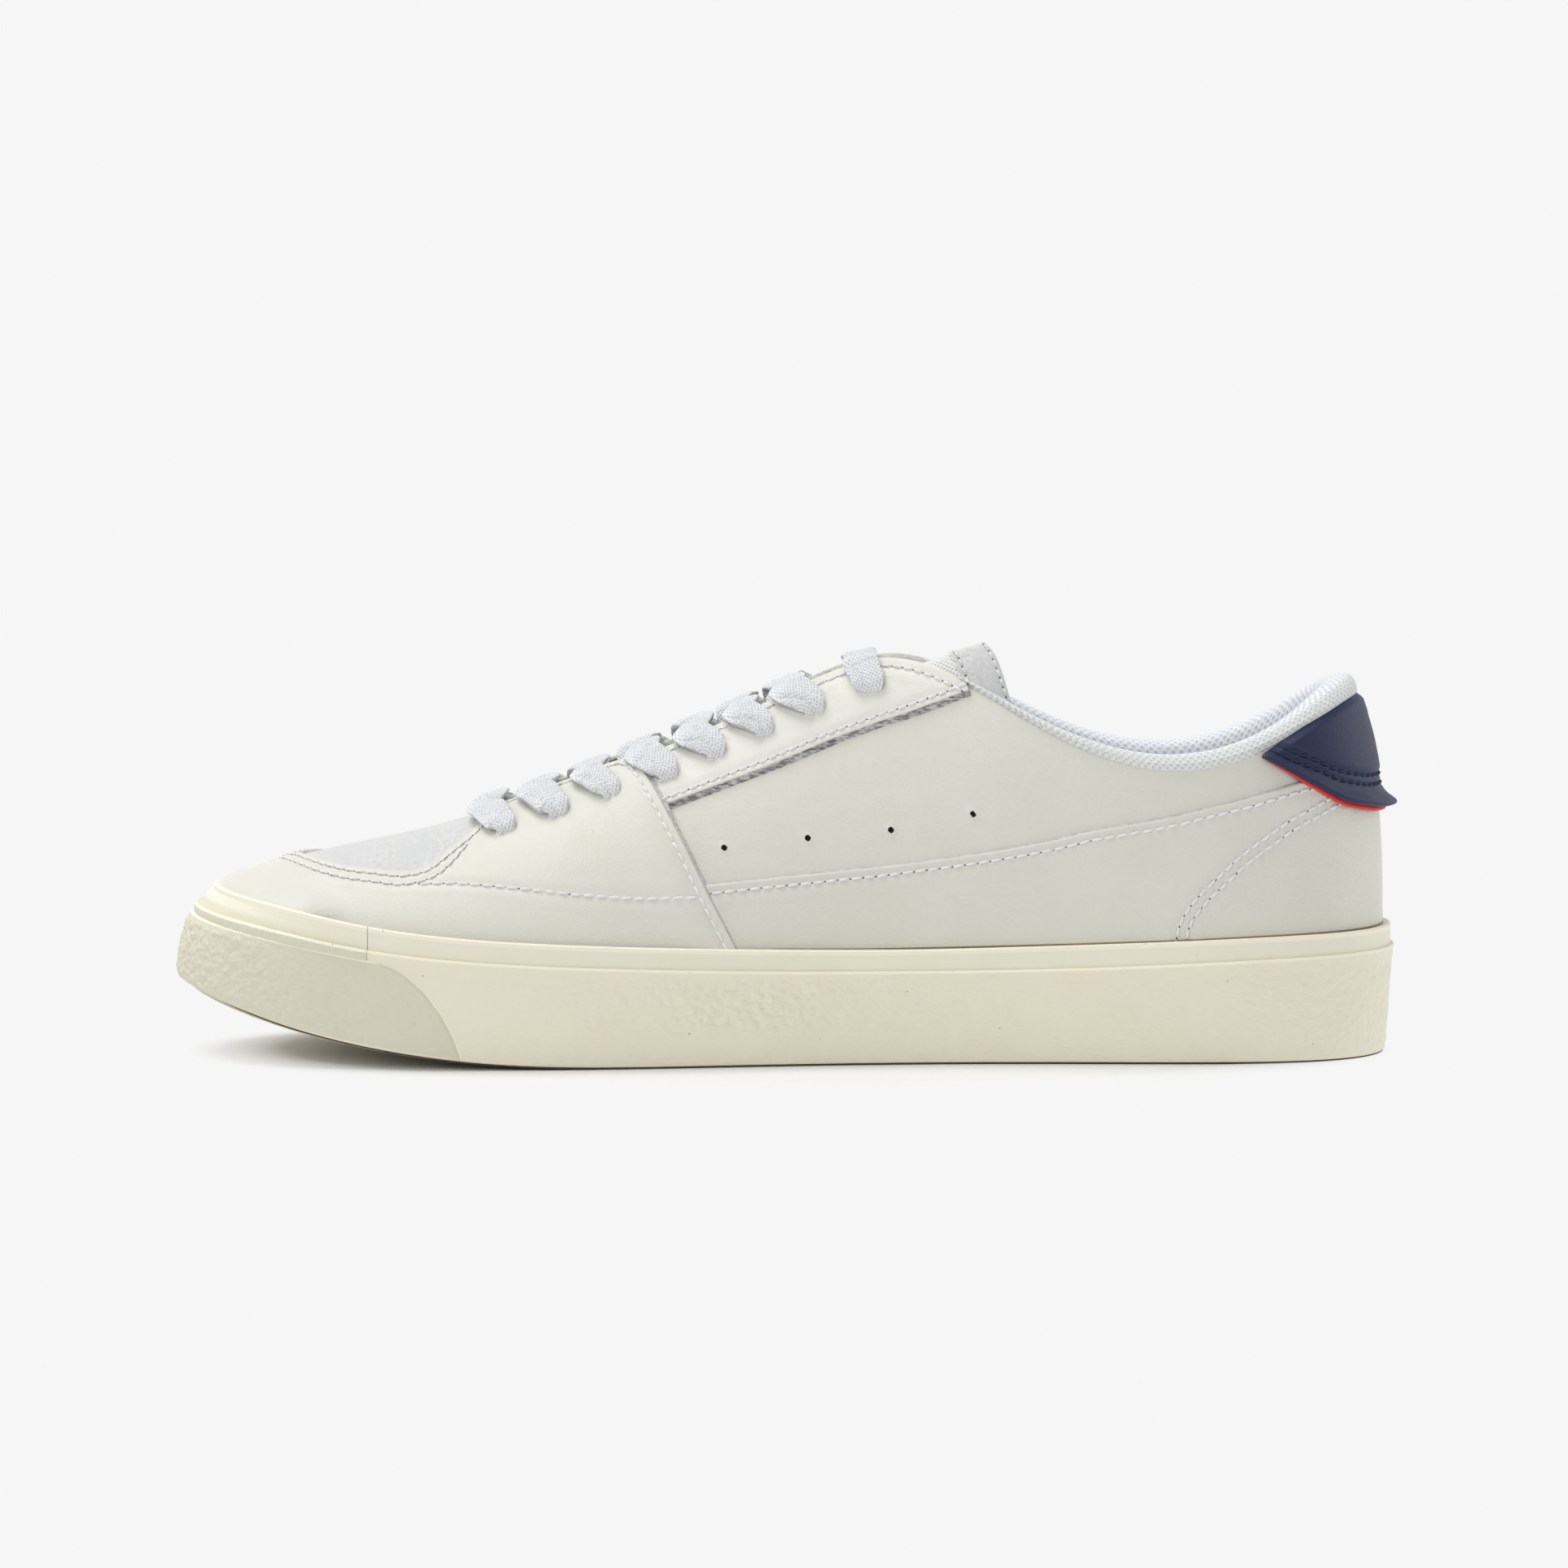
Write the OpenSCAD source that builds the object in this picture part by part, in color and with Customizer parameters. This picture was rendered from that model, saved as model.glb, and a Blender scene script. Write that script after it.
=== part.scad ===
// Court shoe, right foot. +X is the heel, -Y the medial side, +Z up; the ground is z = 0.
// The upper is described on one base surface: k counts stations from the toe tip (0) to the
// heel back (14) on each side, v climbs from the feather line (0) to the crest or collar (1).

/* [Sole] */
// Length of the sole, toe to heel
shoe_length = 300; // [285:1:315]
// Width of the sole across the ball of the foot
ball_width = 108; // [102:1:114]
// Thickness of the outsole
outsole_t = 5.5; // [4.5:0.1:5.5]
// Depth of the tread grooves
tread_depth = 1.5; // [0.8:0.1:2]
// Distance between tread grooves
tread_pitch = 14; // [12:1:20]
// Thickness of the lasting board
board_t = 2; // [1.5:0.1:2]
// Thickness of the footbed foam
footbed_t = 4; // [3:0.1:5]

/* [Upper] */
// Thickness of the leather panels
leather_t = 1.1; // [0.9:0.05:1.1]
// Thickness of the linings
lining_t = 0.9; // [0.6:0.05:0.9]
// Air between two layers
gap = 0.4; // [0.4:0.05:0.5]
// Diameter of the eyelet holes
eyelet_d = 5; // [4.8:0.1:5.4]
// Diameter of the side perforations
perforation_d = 1.6; // [1.2:0.1:2.4]

/* [Lace] */
// Width of the flat lace
lace_w = 8; // [6:0.1:8.5]
// Thickness of the flat lace
lace_t = 1.5; // [1:0.1:1.6]

/* [Hidden] */

MEDIAL = -1;
LATERAL = 1;
HEEL_K = 14;

// Where the outline's middle lies before it is centred on the frame
outline_centre = [-0.24, 2.88];
length_ratio = shoe_length / 300;
width_ratio = ball_width / 108;

// Layer offsets from the base surface, outside in
overlay_hi = 4;
overlay_lo = overlay_hi - leather_t;
base_hi = overlay_lo - gap;
base_lo = base_hi - leather_t;
mid_hi = base_lo - gap;
mid_lo = mid_hi - 0.9;
lining_hi = mid_lo - gap;
lining_lo = lining_hi - lining_t;
// The tongue's layers, with room above them for the lace
tongue_hi = -4.4;
tongue_shell_t = 0.9;
tongue_foam_t = 2;
tongue_lining_t = 0.7;
tongue_foam_hi = tongue_hi - tongue_shell_t - gap;
tongue_lining_hi = tongue_foam_hi - tongue_foam_t - gap;
tongue_lo = tongue_lining_hi - tongue_lining_t;

// Outline of the sole at the widest part of the wall, toe tip to heel back, by station
sole_medial = [
    [-151.5, -6], [-146.5, -25], [-132, -40.5], [-108, -48.5], [-80, -51.5],
    [-52, -50.8], [-24, -46.5], [4, -41.3], [32, -38.2], [60, -37.3],
    [86, -38.2], [110, -38.2], [131, -34], [146, -21], [151.3, 0]
];
sole_lateral = [
    [-151.5, -6], [-147.5, 13], [-134, 30], [-109, 44], [-80, 52.5],
    [-52, 57.2], [-24, 56.8], [4, 53], [32, 48.3], [60, 44.6],
    [86, 42.4], [110, 40], [131, 34.5], [146, 21], [151.3, 0]
];
// Crest of the forefoot (stations 0 to 8) and edge of the collar (9 to 14), medial side
crest = [
    [-141.5, -4.8, 31], [-135, -5, 39.5], [-122, -5, 45], [-101, -4, 49], [-78, -3, 53.8],
    [-52, -2, 65], [-26, -1, 76], [-2, -1, 86.5], [20, -3.5, 96.5], [42, -17, 92.5],
    [66, -26, 77.5], [91, -28.5, 70.5], [114, -26, 75.5], [131, -17, 88], [141.5, 0, 94]
];
// Section shape by station: rise above the feather, swell, reach in y, reach in x, drop
section = [
    [5, 0.5, 3, 0, 0], [10, 1, 12, 0, 1], [14, 1.5, 21, 0, 0.8], [17, 1.3, 23, 0, 0.5],
    [24, 1, 23, 0, 0.3], [30, 0, 19, 0, 1], [33, -1, 16, 0, 2], [34, -1, 15, 0, 3],
    [34, -1, 13, 0, 4], [34, -1, 10, 0, 14], [32, 0, 5, 0, 22], [28, 1.5, 3.5, 0, 24],
    [28, 2, 3.5, 0, 24], [28, 2.5, 2, 3, 24], [28, 3.4, 0, 6, 24]
];
// Heights along the shoe, one value every 25 mm from x = -150 to x = 150
ground_line = [18.5, 10, 4.4, 1, 0, 0, 0, 0, 0, 0, 0, 0, 0];
feather_line = [25, 19, 15.5, 14.2, 14, 14, 14, 14, 14, 14, 14, 14, 14];
tape_line = [43, 38.6, 33.4, 31.2, 29.9, 28.9, 28.1, 27.7, 28.2, 29, 30, 31.1, 31.5];
foxing_line = [37, 33.4, 28.3, 25.9, 24.6, 23.7, 22.9, 22.7, 22.8, 23.4, 24.6, 25.8, 26.4];
line_start = -150;
line_step = 25;
feather_inset = 7.2;

// Panel edges as [station, height share], each followed by a smooth curve
throat_edge = [
    [4.15, 0.93], [4.6, 0.91], [5.1, 0.87], [5.55, 0.84], [6, 0.84], [6.5, 0.86],
    [7, 0.885], [7.56, 0.92], [7.95, 0.955], [8.3, 0.99]
];
eyelets = [
    [4.4, 0.69], [4.88, 0.7], [5.36, 0.7], [5.86, 0.71],
    [6.32, 0.745], [6.8, 0.775], [7.32, 0.8], [7.95, 0.85]
];
perforations = [[6.4, 0.4], [7.15, 0.395], [7.92, 0.41], [8.73, 0.47]];

// ---- smooth curves ----
function weights(f) = [
    pow(1 - f, 3) / 6,
    (3 * pow(f, 3) - 6 * f * f + 4) / 6,
    (-3 * pow(f, 3) + 3 * f * f + 3 * f + 1) / 6,
    pow(f, 3) / 6
];
function slopes(f) = [
    -pow(1 - f, 2) / 2,
    (3 * f * f - 4 * f) / 2,
    (-3 * f * f + 2 * f + 1) / 2,
    f * f / 2
];
function end_point(P, i) =
    i < 0 ? 2 * P[0] - P[1] :
    i >= len(P) ? 2 * P[len(P) - 1] - P[len(P) - 2] : P[i];
function mix4(w, a, b, c, d) = w[0] * a + w[1] * b + w[2] * c + w[3] * d;
function spline(P, t) =
    let (i = min(max(floor(t), 0), len(P) - 2))
    mix4(weights(t - i), end_point(P, i - 1), P[i], P[i + 1], end_point(P, i + 2));
// A curve over the stations; past the heel it goes on as its own mirror image
function by_station(P, k, mirror) =
    let (
        i = min(max(floor(k), 0), HEEL_K - 1),
        before = i > 0 ? P[i - 1] : 2 * P[0] - P[1],
        after = i + 2 > HEEL_K ? [for (j = [0:len(mirror) - 1]) P[i][j] * mirror[j]] : P[i + 2]
    )
    mix4(weights(k - i), before, P[i], P[i + 1], after);
function along(P, s) = spline(P, s * (len(P) - 1));
function lerp(a, b, t) = a + (b - a) * t;
function unit(a) = a / norm(a);
function line_z(heights, x) = spline(heights, (x / length_ratio - line_start) / line_step);
function smooth_step(a, b, x) = let (t = min(max((x - a) / (b - a), 0), 1)) t * t * (3 - 2 * t);

// ---- outline of the sole ----
outline_loop = concat(sole_medial, [for (i = [HEEL_K - 1:-1:1]) sole_lateral[i]]);
LOOP_N = len(outline_loop);
function sized(p) = [
    (p[0] - outline_centre[0]) * length_ratio,
    (p[1] - outline_centre[1]) * width_ratio
];
function loop_mix(w, i) = mix4(
    w,
    outline_loop[(i + LOOP_N - 1) % LOOP_N],
    outline_loop[i % LOOP_N],
    outline_loop[(i + 1) % LOOP_N],
    outline_loop[(i + 2) % LOOP_N]
);
function outline(t, inset = 0) =
    let (
        u = (t + LOOP_N) % LOOP_N,
        i = floor(u),
        d = loop_mix(slopes(u - i), i),
        n = unit([d[1] * length_ratio, -d[0] * width_ratio])
    )
    sized(loop_mix(weights(u - i), i)) - inset * n;
function loop_t(k, side) = side == MEDIAL ? k : LOOP_N - k;

// ---- base surface of the upper ----
function crest_point(k, side) =
    let (
        p = by_station(crest, k, [1, -1, 1]),
        far = smooth_step(4.5, 7.5, k),
        y = side == MEDIAL ? p[1] : lerp(p[1], -p[1], far),
        q = sized([p[0], y])
    )
    [q[0], q[1], p[2]];
function bezier(a, b, c, d, v) =
    pow(1 - v, 3) * a + 3 * pow(1 - v, 2) * v * b + 3 * (1 - v) * v * v * c + pow(v, 3) * d;
function base_point(k, v, side) =
    let (
        t = loop_t(k, side),
        foot = outline(t, feather_inset),
        out = unit(outline(t, 0) - foot),
        z = line_z(feather_line, foot[0]),
        a = [foot[0], foot[1], z],
        d = crest_point(k, side),
        q = by_station(section, k, [1, 1, 1, 1, 1]),
        third = (d[0] - a[0]) / 3,
        b = a + [third + out[0] * q[1], out[1] * q[1], q[0]],
        c = d + [q[3] - third, side * q[2], -q[4]]
    )
    bezier(a, b, c, d, v);
NUDGE = 0.004;
function base_normal(k, v, side) =
    let (
        k0 = max(k - NUDGE, 0.02),
        k1 = min(max(k + NUDGE, 0.04), HEEL_K),
        v0 = max(v - NUDGE, 0),
        v1 = min(v + NUDGE, 1),
        du = base_point(k1, v, side) - base_point(k0, v, side),
        dv = base_point(k, v1, side) - base_point(k, v0, side)
    )
    unit(cross(dv, du)) * side;
function skin_point(k, v, side, off) = base_point(k, v, side) + off * base_normal(k, v, side);

// ---- grids of points on the surface ----
// One side: lower and upper are edges as [k, v] lists
function side_grid(side, lower, upper, n, m, off) = [
    for (i = [0:n]) [
        for (j = [0:m])
            let (q = lerp(along(lower, i / n), along(upper, i / n), j / m))
            skin_point(q[0], q[1], side, off)
    ]
];
// Both sides, joined at the end of the two edges
function wrap_grid(lower, upper, n, m, off) =
    let (
        near = side_grid(MEDIAL, lower, upper, n, m, off),
        far = side_grid(LATERAL, lower, upper, n, m, off)
    )
    concat(near, [for (i = [n - 1:-1:0]) far[i]]);
// Over the crest from one side to the other; edge holds [k, v] of the lower edge
function over_row(k, v_lo, m, off) = concat(
    [for (j = [0:m]) skin_point(k, lerp(v_lo, 1, j / m), MEDIAL, off)],
    [for (j = [m - 1:-1:0]) skin_point(k, lerp(v_lo, 1, j / m), LATERAL, off)]
);
function over_grid(edge, n, m, off) = [
    for (i = [0:n]) let (q = along(edge, i / n)) over_row(q[0], q[1], m, off)
];

// ---- closed solid between two grids ----
function two(a, b, c, d, flip) =
    flip ? [[a, c, b], [a, d, c]] : [[a, b, c], [a, c, d]];
module shell(outer, inner, closed = false) {
    rows = len(outer);
    cols = len(outer[0]);
    last = closed ? rows - 1 : rows - 2;
    i0 = floor(rows / 2);
    j0 = floor((cols - 1) / 2);
    across = cross(outer[i0][j0] - outer[i0 - 1][j0], outer[i0][j0 + 1] - outer[i0][j0]);
    flip = across * (outer[i0][j0] - inner[i0][j0]) > 0;
    function at(layer, i, j) = (layer * rows + i % rows) * cols + j;
    points = [for (g = [outer, inner]) for (r = g) for (p = r) p];
    faces = [
        for (i = [0:last]) for (j = [0:cols - 2])
            each two(at(0, i, j), at(0, i + 1, j), at(0, i + 1, j + 1), at(0, i, j + 1), flip),
        for (i = [0:last]) for (j = [0:cols - 2])
            each two(at(1, i, j), at(1, i + 1, j), at(1, i + 1, j + 1), at(1, i, j + 1), !flip),
        for (i = [0:last])
            each two(at(0, i, 0), at(1, i, 0), at(1, i + 1, 0), at(0, i + 1, 0), flip),
        for (i = [0:last])
            each two(at(0, i, cols - 1), at(1, i, cols - 1), at(1, i + 1, cols - 1),
                at(0, i + 1, cols - 1), !flip),
        if (!closed) for (j = [0:cols - 2])
            each two(at(0, 0, j), at(1, 0, j), at(1, 0, j + 1), at(0, 0, j + 1), !flip),
        if (!closed) for (j = [0:cols - 2])
            each two(at(0, rows - 1, j), at(1, rows - 1, j), at(1, rows - 1, j + 1),
                at(0, rows - 1, j + 1), flip)
    ];
    polyhedron(points, faces, convexity = 8);
}
module side_panel(side, lower, upper, n, m, hi, lo) {
    shell(side_grid(side, lower, upper, n, m, hi), side_grid(side, lower, upper, n, m, lo));
}
module wrap_panel(lower, upper, n, m, hi, lo) {
    shell(wrap_grid(lower, upper, n, m, hi), wrap_grid(lower, upper, n, m, lo));
}
module over_panel(edge, n, m, hi, lo) {
    shell(over_grid(edge, n, m, hi), over_grid(edge, n, m, lo));
}

// ---- plates of the sole: outline and side profile ----
OUTLINE_STEPS = 84;
// toe_inset is added towards the toe tip
module footprint(inset, toe_inset = 0) {
    polygon([
        for (i = [0:OUTLINE_STEPS - 1])
            let (t = i * LOOP_N / OUTLINE_STEPS, x = outline(t)[0] / length_ratio)
            outline(t, inset + toe_inset * smooth_step(95, 150, -x))
    ]);
}
PROFILE_XS = [-156, -150, -144, -137, -129, -120, -110, -100, -90, -80, -70, -60, -50, -40, 160];
module profile(low, low_add, high, high_add) {
    bottom = [for (x = PROFILE_XS) [x * length_ratio, line_z(low, x * length_ratio) + low_add]];
    top = [for (x = PROFILE_XS) [x * length_ratio, line_z(high, x * length_ratio) + high_add]];
    rotate([90, 0, 0])
        linear_extrude(height = 2 * ball_width, center = true)
            polygon(concat(bottom, [for (i = [len(top) - 1:-1:0]) top[i]]));
}
module plate(inset, low, low_add, high, high_add, toe_inset = 0) {
    intersection() {
        linear_extrude(height = 60)
            footprint(inset, toe_inset);
        profile(low, low_add, high, high_add);
    }
}

// ---- wall bands around the sole ----
// The wall leans back towards the toe tip, by a share from 0 to 1
function lean(x) = pow(min(max((-104 - x / length_ratio) / 46, 0), 1), 1.4);
// The tape is thinner around the heel back
function heel_thin(x) = smooth_step(112, 142, x / length_ratio);
// A band's rings: each corner is
// [outline offset, offset added by the lean, height line, height, offset added at the heel]
function band_grid(ts, corners) = [
    for (t = ts) [
        for (c = corners)
            let (
                rim = outline(t, 0),
                at_heel = len(c) > 4 ? c[4] * heel_thin(rim[0]) : 0,
                p = outline(t, -c[0] - c[1] * lean(rim[0]) - at_heel),
                z = line_z(c[2], rim[0]) + c[3]
            )
            [p[0], p[1], z]
    ]
];
RING = [for (i = [0:OUTLINE_STEPS - 1]) i * LOOP_N / OUTLINE_STEPS];
function arc(t0, t1, n) = [for (i = [0:n]) lerp(t0, t1, i / n)];
toe_join_medial = 3.25;
toe_join_lateral = -3.25;
bumper_end = 3.3;

// Tread: zigzag grooves under the forefoot and the heel, clear of the rim
tread_border = 9;
groove_w = 2.2;
zig_x = 5;
zig_y = 10;
forefoot_tread = [-126, -42];
heel_tread = [60, 126];
module outsole() {
    color([0.84, 0.83, 0.75])
        difference() {
            plate(3.2, ground_line, 0, ground_line, outsole_t);
            intersection() {
                tread_grooves();
                profile(ground_line, -2, ground_line, tread_depth);
                linear_extrude(height = 60, center = true)
                    footprint(tread_border);
            }
        }
}
module tread_grooves() {
    for (span = [forefoot_tread, heel_tread])
        for (x = [span[0]:tread_pitch:span[1]])
            translate([x, 0, -5])
                groove();
}
module groove() {
    front = [for (j = [-6:6]) [abs(j % 2) * zig_x, j * zig_y]];
    back = [for (j = [6:-1:-6]) [abs(j % 2) * zig_x + groove_w, j * zig_y]];
    linear_extrude(height = 50)
        polygon(concat(front, back));
}
module midsole_filler() {
    color([0.8, 0.79, 0.72])
        plate(3.2, ground_line, outsole_t + 0.1, feather_line, -gap);
}
module foxing_lower() {
    outer = [
        [-2.4, 0, ground_line, 0.6], [-1.9, 0, ground_line, 7],
        [-0.9, -3.6, foxing_line, -4], [-0.4, -5, foxing_line, -0.7], [-1, -5.2, foxing_line, 0]
    ];
    inner = [
        [-3, 0, ground_line, 0.6], [-3, 0, feather_line, 0.2],
        [-2.8, -3.6, foxing_line, -4], [-2.7, -5.5, foxing_line, -0.7], [-2.7, -5.8, foxing_line, 0]
    ];
    color([0.86, 0.85, 0.77])
        shell(under_bumper(band_grid(RING, outer)), band_grid(RING, inner), closed = true);
}
// The lower foxing is set back where the bumper covers it
bumper_recess = 0.3;
function under_bumper(grid) = [
    for (i = [0:len(grid) - 1])
        let (
            t = RING[i],
            d = min(t, LOOP_N - t),
            share = 1 - smooth_step(bumper_end, bumper_end + 0.35, d),
            out = unit(outline(t, 0) - outline(t, 1))
        )
        [for (p = grid[i]) p - share * bumper_recess * [out[0], out[1], 0]]
];
tape_outer = [
    [-1, -5.2, foxing_line, 0.3], [-1, -6, foxing_line, 2],
    [-1.2, -8, tape_line, -1.2], [-1.7, -8.4, tape_line, 0]
];
tape_inner = [
    [-2.8, -5, foxing_line, 0.3, 0.9], [-2.8, -5.6, foxing_line, 2, 0.9],
    [-2.8, -7.8, tape_line, -1.2, 0.9], [-2.8, -8.2, tape_line, 0, 0.8]
];
module foxing_tape_rear() {
    ts = arc(toe_join_medial + 0.02, LOOP_N + toe_join_lateral - 0.02, 70);
    color([0.87, 0.86, 0.79])
        shell(band_grid(ts, tape_outer), band_grid(ts, tape_inner));
}
module foxing_tape_toe() {
    ts = arc(toe_join_lateral, toe_join_medial, 24);
    color([0.87, 0.86, 0.79])
        shell(band_grid(ts, tape_outer), band_grid(ts, tape_inner));
}
module toe_strip() {
    ts = arc(toe_join_lateral, toe_join_medial, 24);
    outer = [
        [-0.1, -4.2, foxing_line, -1.9], [0, -4.5, foxing_line, -1], [-0.3, -4.8, foxing_line, -0.1]
    ];
    inner = [
        [-0.5, -4.5, foxing_line, -1.9], [-0.5, -4.8, foxing_line, -1], [-0.7, -5.1, foxing_line, -0.1]
    ];
    color([0.85, 0.84, 0.75])
        shell(band_grid(ts, outer), band_grid(ts, inner));
}
module toe_bumper() {
    ts = arc(-bumper_end - 0.1, bumper_end + 0.1, 26);
    outer = [
        [-0.6, 0, ground_line, 0.7], [0, 0, ground_line, 4], [0, -0.5, foxing_line, -10],
        [0, -2, foxing_line, -5], [-0.1, -3.8, foxing_line, -2.2]
    ];
    inner = [
        [-1.7, 0, ground_line, 0.7], [-1.4, 0, ground_line, 4], [-1, -0.6, foxing_line, -10],
        [-0.8, -2.2, foxing_line, -5], [-0.5, -4.2, foxing_line, -2.2]
    ];
    color([0.85, 0.84, 0.75])
        shell(band_grid(ts, outer), band_grid(ts, inner));
}
board_inset = 9.4;
module lasting_board() {
    color([0.72, 0.66, 0.55])
        plate(board_inset, feather_line, 0, feather_line, board_t);
}
footbed_inset = 10.6;
footbed_toe_inset = 6;
footbed_gap = 0.35;
cover_t = 1;
module footbed_foam() {
    low = board_t + footbed_gap;
    color([0.93, 0.93, 0.9])
        plate(footbed_inset, feather_line, low, feather_line, low + footbed_t, footbed_toe_inset);
}
module footbed_cover() {
    low = board_t + footbed_gap + footbed_t;
    color([0.9, 0.9, 0.88])
        plate(footbed_inset, feather_line, low, feather_line, low + cover_t, footbed_toe_inset);
}

// ---- linings and stiffeners ----
module toe_puff() {
    color([0.8, 0.78, 0.7])
        over_panel([[0.9, 0.35], [1.4, 0.25], [2, 0.2], [2.6, 0.18]], 6, 9, mid_hi, mid_lo);
}
module heel_counter() {
    lower = [[11.2, 0.04], [12, 0.04], [13, 0.04], [14, 0.04]];
    upper = [[11.2, 0.3], [12, 0.5], [13, 0.6], [14, 0.62]];
    color([0.75, 0.74, 0.7])
        wrap_panel(lower, upper, 8, 7, mid_hi, mid_lo);
}
module vamp_lining() {
    color([0.93, 0.93, 0.9])
        over_panel([[0.5, 0.03], [1.6, 0.03], [2.8, 0.03], [4.05, 0.03]], 10, 9, lining_hi, lining_lo);
}
lining_lower = [
    [4.15, 0.03], [5.4, 0.03], [6.6, 0.03], [7.8, 0.03], [9, 0.03],
    [10.2, 0.03], [11.4, 0.03], [12.6, 0.03], [13.95, 0.03]
];
lining_upper = [
    [4.15, 0.91], [5.1, 0.85], [6, 0.82], [7, 0.86], [8, 0.925], [8.7, 0.86], [9.2, 0.77],
    [9.8, 0.66], [10.4, 0.59], [11.2, 0.58], [12, 0.6], [13, 0.64], [13.95, 0.66]
];
module quarter_lining(side) {
    color([0.92, 0.92, 0.9])
        difference() {
            side_panel(side, lining_lower, lining_upper, 24, 9, lining_hi, lining_lo);
            eyelet_drills(side, 0, 7);
        }
}
module quarter_lining_medial() { quarter_lining(MEDIAL); }
module quarter_lining_lateral() { quarter_lining(LATERAL); }

// ---- eyelets and perforations ----
drill_reach = 4.5;
module drill(k, v, side, d) {
    n = base_normal(k, v, side);
    p = base_point(k, v, side);
    translate(p)
        rotate([0, acos(n[2]), atan2(n[1], n[0])])
            translate([0, 0, -drill_reach + 1])
                cylinder(h = 2 * drill_reach + 1, d = d, $fn = 24);
}
module eyelet_drills(side, first, last) {
    for (i = [first:last]) drill(eyelets[i][0], eyelets[i][1], side, eyelet_d);
}

// ---- leather and suede panels ----
suede_edge = [
    [1.7, 0.93], [1.95, 0.75], [2.4, 0.6], [3, 0.5], [3.5, 0.44],
    [3.85, 0.46], [4.02, 0.6]
];
module suede_toe_panel() {
    color([0.86, 0.865, 0.855])
        over_panel(suede_edge, 10, 7, base_hi, base_lo);
}
front_lower = [
    [6.35, 0.07], [5.6, 0.09], [4.9, 0.12], [4.2, 0.15], [3.5, 0.19], [2.8, 0.26],
    [2.1, 0.34], [1.5, 0.52], [1.15, 0.74], [1.05, 1]
];
front_upper = [
    [5.6, 0.82], [5.15, 0.855], [4.7, 0.895], [4.22, 0.9], [4, 0.62], [3.65, 0.5],
    [3.1, 0.545], [2.5, 0.66], [2, 0.83], [1.84, 1]
];
module front_overlay() {
    color([0.9, 0.9, 0.87])
        difference() {
            wrap_panel(front_lower, front_upper, 22, 9, overlay_hi, overlay_lo);
            eyelet_drills(MEDIAL, 0, 2);
            eyelet_drills(LATERAL, 0, 2);
        }
}
quarter_lower = [
    [6.3, 0.08], [7, 0.07], [7.8, 0.065], [8.6, 0.075], [9.4, 0.09], [10.2, 0.12],
    [11, 0.15], [11.8, 0.165], [12.6, 0.165], [13.3, 0.16], [13.93, 0.16]
];
quarter_upper = [
    [5.4, 0.8], [6, 0.825], [6.6, 0.85], [7.2, 0.885], [7.8, 0.93], [8.35, 0.975],
    [9.1, 0.965], [9.6, 0.94], [10.5, 0.94], [11.5, 0.945], [12.4, 0.945], [13.2, 0.94],
    [13.93, 0.93]
];
module quarter(side, holes) {
    color([0.9, 0.9, 0.87])
        difference() {
            side_panel(side, quarter_lower, quarter_upper, 24, 9, base_hi, base_lo);
            eyelet_drills(side, 3, 7);
            for (q = holes) drill(q[0], q[1], side, perforation_d);
        }
}
module quarter_medial() { quarter(MEDIAL, perforations); }
module quarter_lateral() { quarter(LATERAL, []); }
eyestay_lower = [
    [5.94, 0.585], [6.4, 0.59], [6.8, 0.61], [7.4, 0.645], [8, 0.7], [8.5, 0.79], [8.95, 0.93]
];
eyestay_upper = [
    [5.7, 0.835], [6.1, 0.84], [6.6, 0.862], [7.2, 0.895], [7.75, 0.935], [8.2, 0.985],
    [8.9, 0.985]
];
module eyestay(side) {
    color([0.9, 0.9, 0.87])
        difference() {
            side_panel(side, eyestay_lower, eyestay_upper, 14, 7, overlay_hi, overlay_lo);
            eyelet_drills(side, 3, 7);
        }
}
module eyestay_medial() { eyestay(MEDIAL); }
module eyestay_lateral() { eyestay(LATERAL); }
reinforcement_lower = [[4.2, 0.62], [5, 0.6], [6, 0.62], [7, 0.68], [8.2, 0.78]];
reinforcement_upper = [[4.2, 0.89], [5, 0.85], [6, 0.82], [7, 0.86], [8.2, 0.95]];
module eyelet_reinforcement(side) {
    color([0.95, 0.95, 0.95])
        difference() {
            side_panel(side, reinforcement_lower, reinforcement_upper, 12, 5, mid_hi, mid_lo);
            eyelet_drills(side, 0, 7);
        }
}
module eyelet_reinforcement_medial() { eyelet_reinforcement(MEDIAL); }
module eyelet_reinforcement_lateral() { eyelet_reinforcement(LATERAL); }
heel_overlay_lower = [
    [6.5, 0.075], [7.8, 0.065], [9, 0.08], [10.2, 0.12], [11.4, 0.155], [12.6, 0.165], [14, 0.16]
];
heel_overlay_upper = [
    [6.28, 0.3], [7.15, 0.305], [7.9, 0.315], [8.7, 0.365], [9.5, 0.475], [10.4, 0.65],
    [11.2, 0.75], [12.2, 0.66], [13.2, 0.58], [14, 0.57]
];
module heel_overlay() {
    color([0.9, 0.9, 0.87])
        wrap_panel(heel_overlay_lower, heel_overlay_upper, 22, 6, overlay_hi, overlay_lo);
}
tab_lower = [[12.05, 0.93], [12.5, 0.8], [12.9, 0.67], [13.4, 0.61], [14, 0.6]];
tab_upper = [[12.1, 0.955], [12.6, 0.955], [13.1, 0.955], [13.5, 0.95], [14, 0.94]];
module heel_tab() {
    color([0.18, 0.22, 0.36])
        wrap_panel(tab_lower, tab_upper, 12, 6, overlay_hi + 1.6, overlay_lo + 1.4);
}
underlay_lower = [[12.2, 0.86], [12.6, 0.73], [12.95, 0.64], [13.4, 0.59], [14, 0.58]];
underlay_upper = [[12.3, 0.9], [12.7, 0.86], [13.1, 0.8], [13.5, 0.78], [14, 0.78]];
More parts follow.
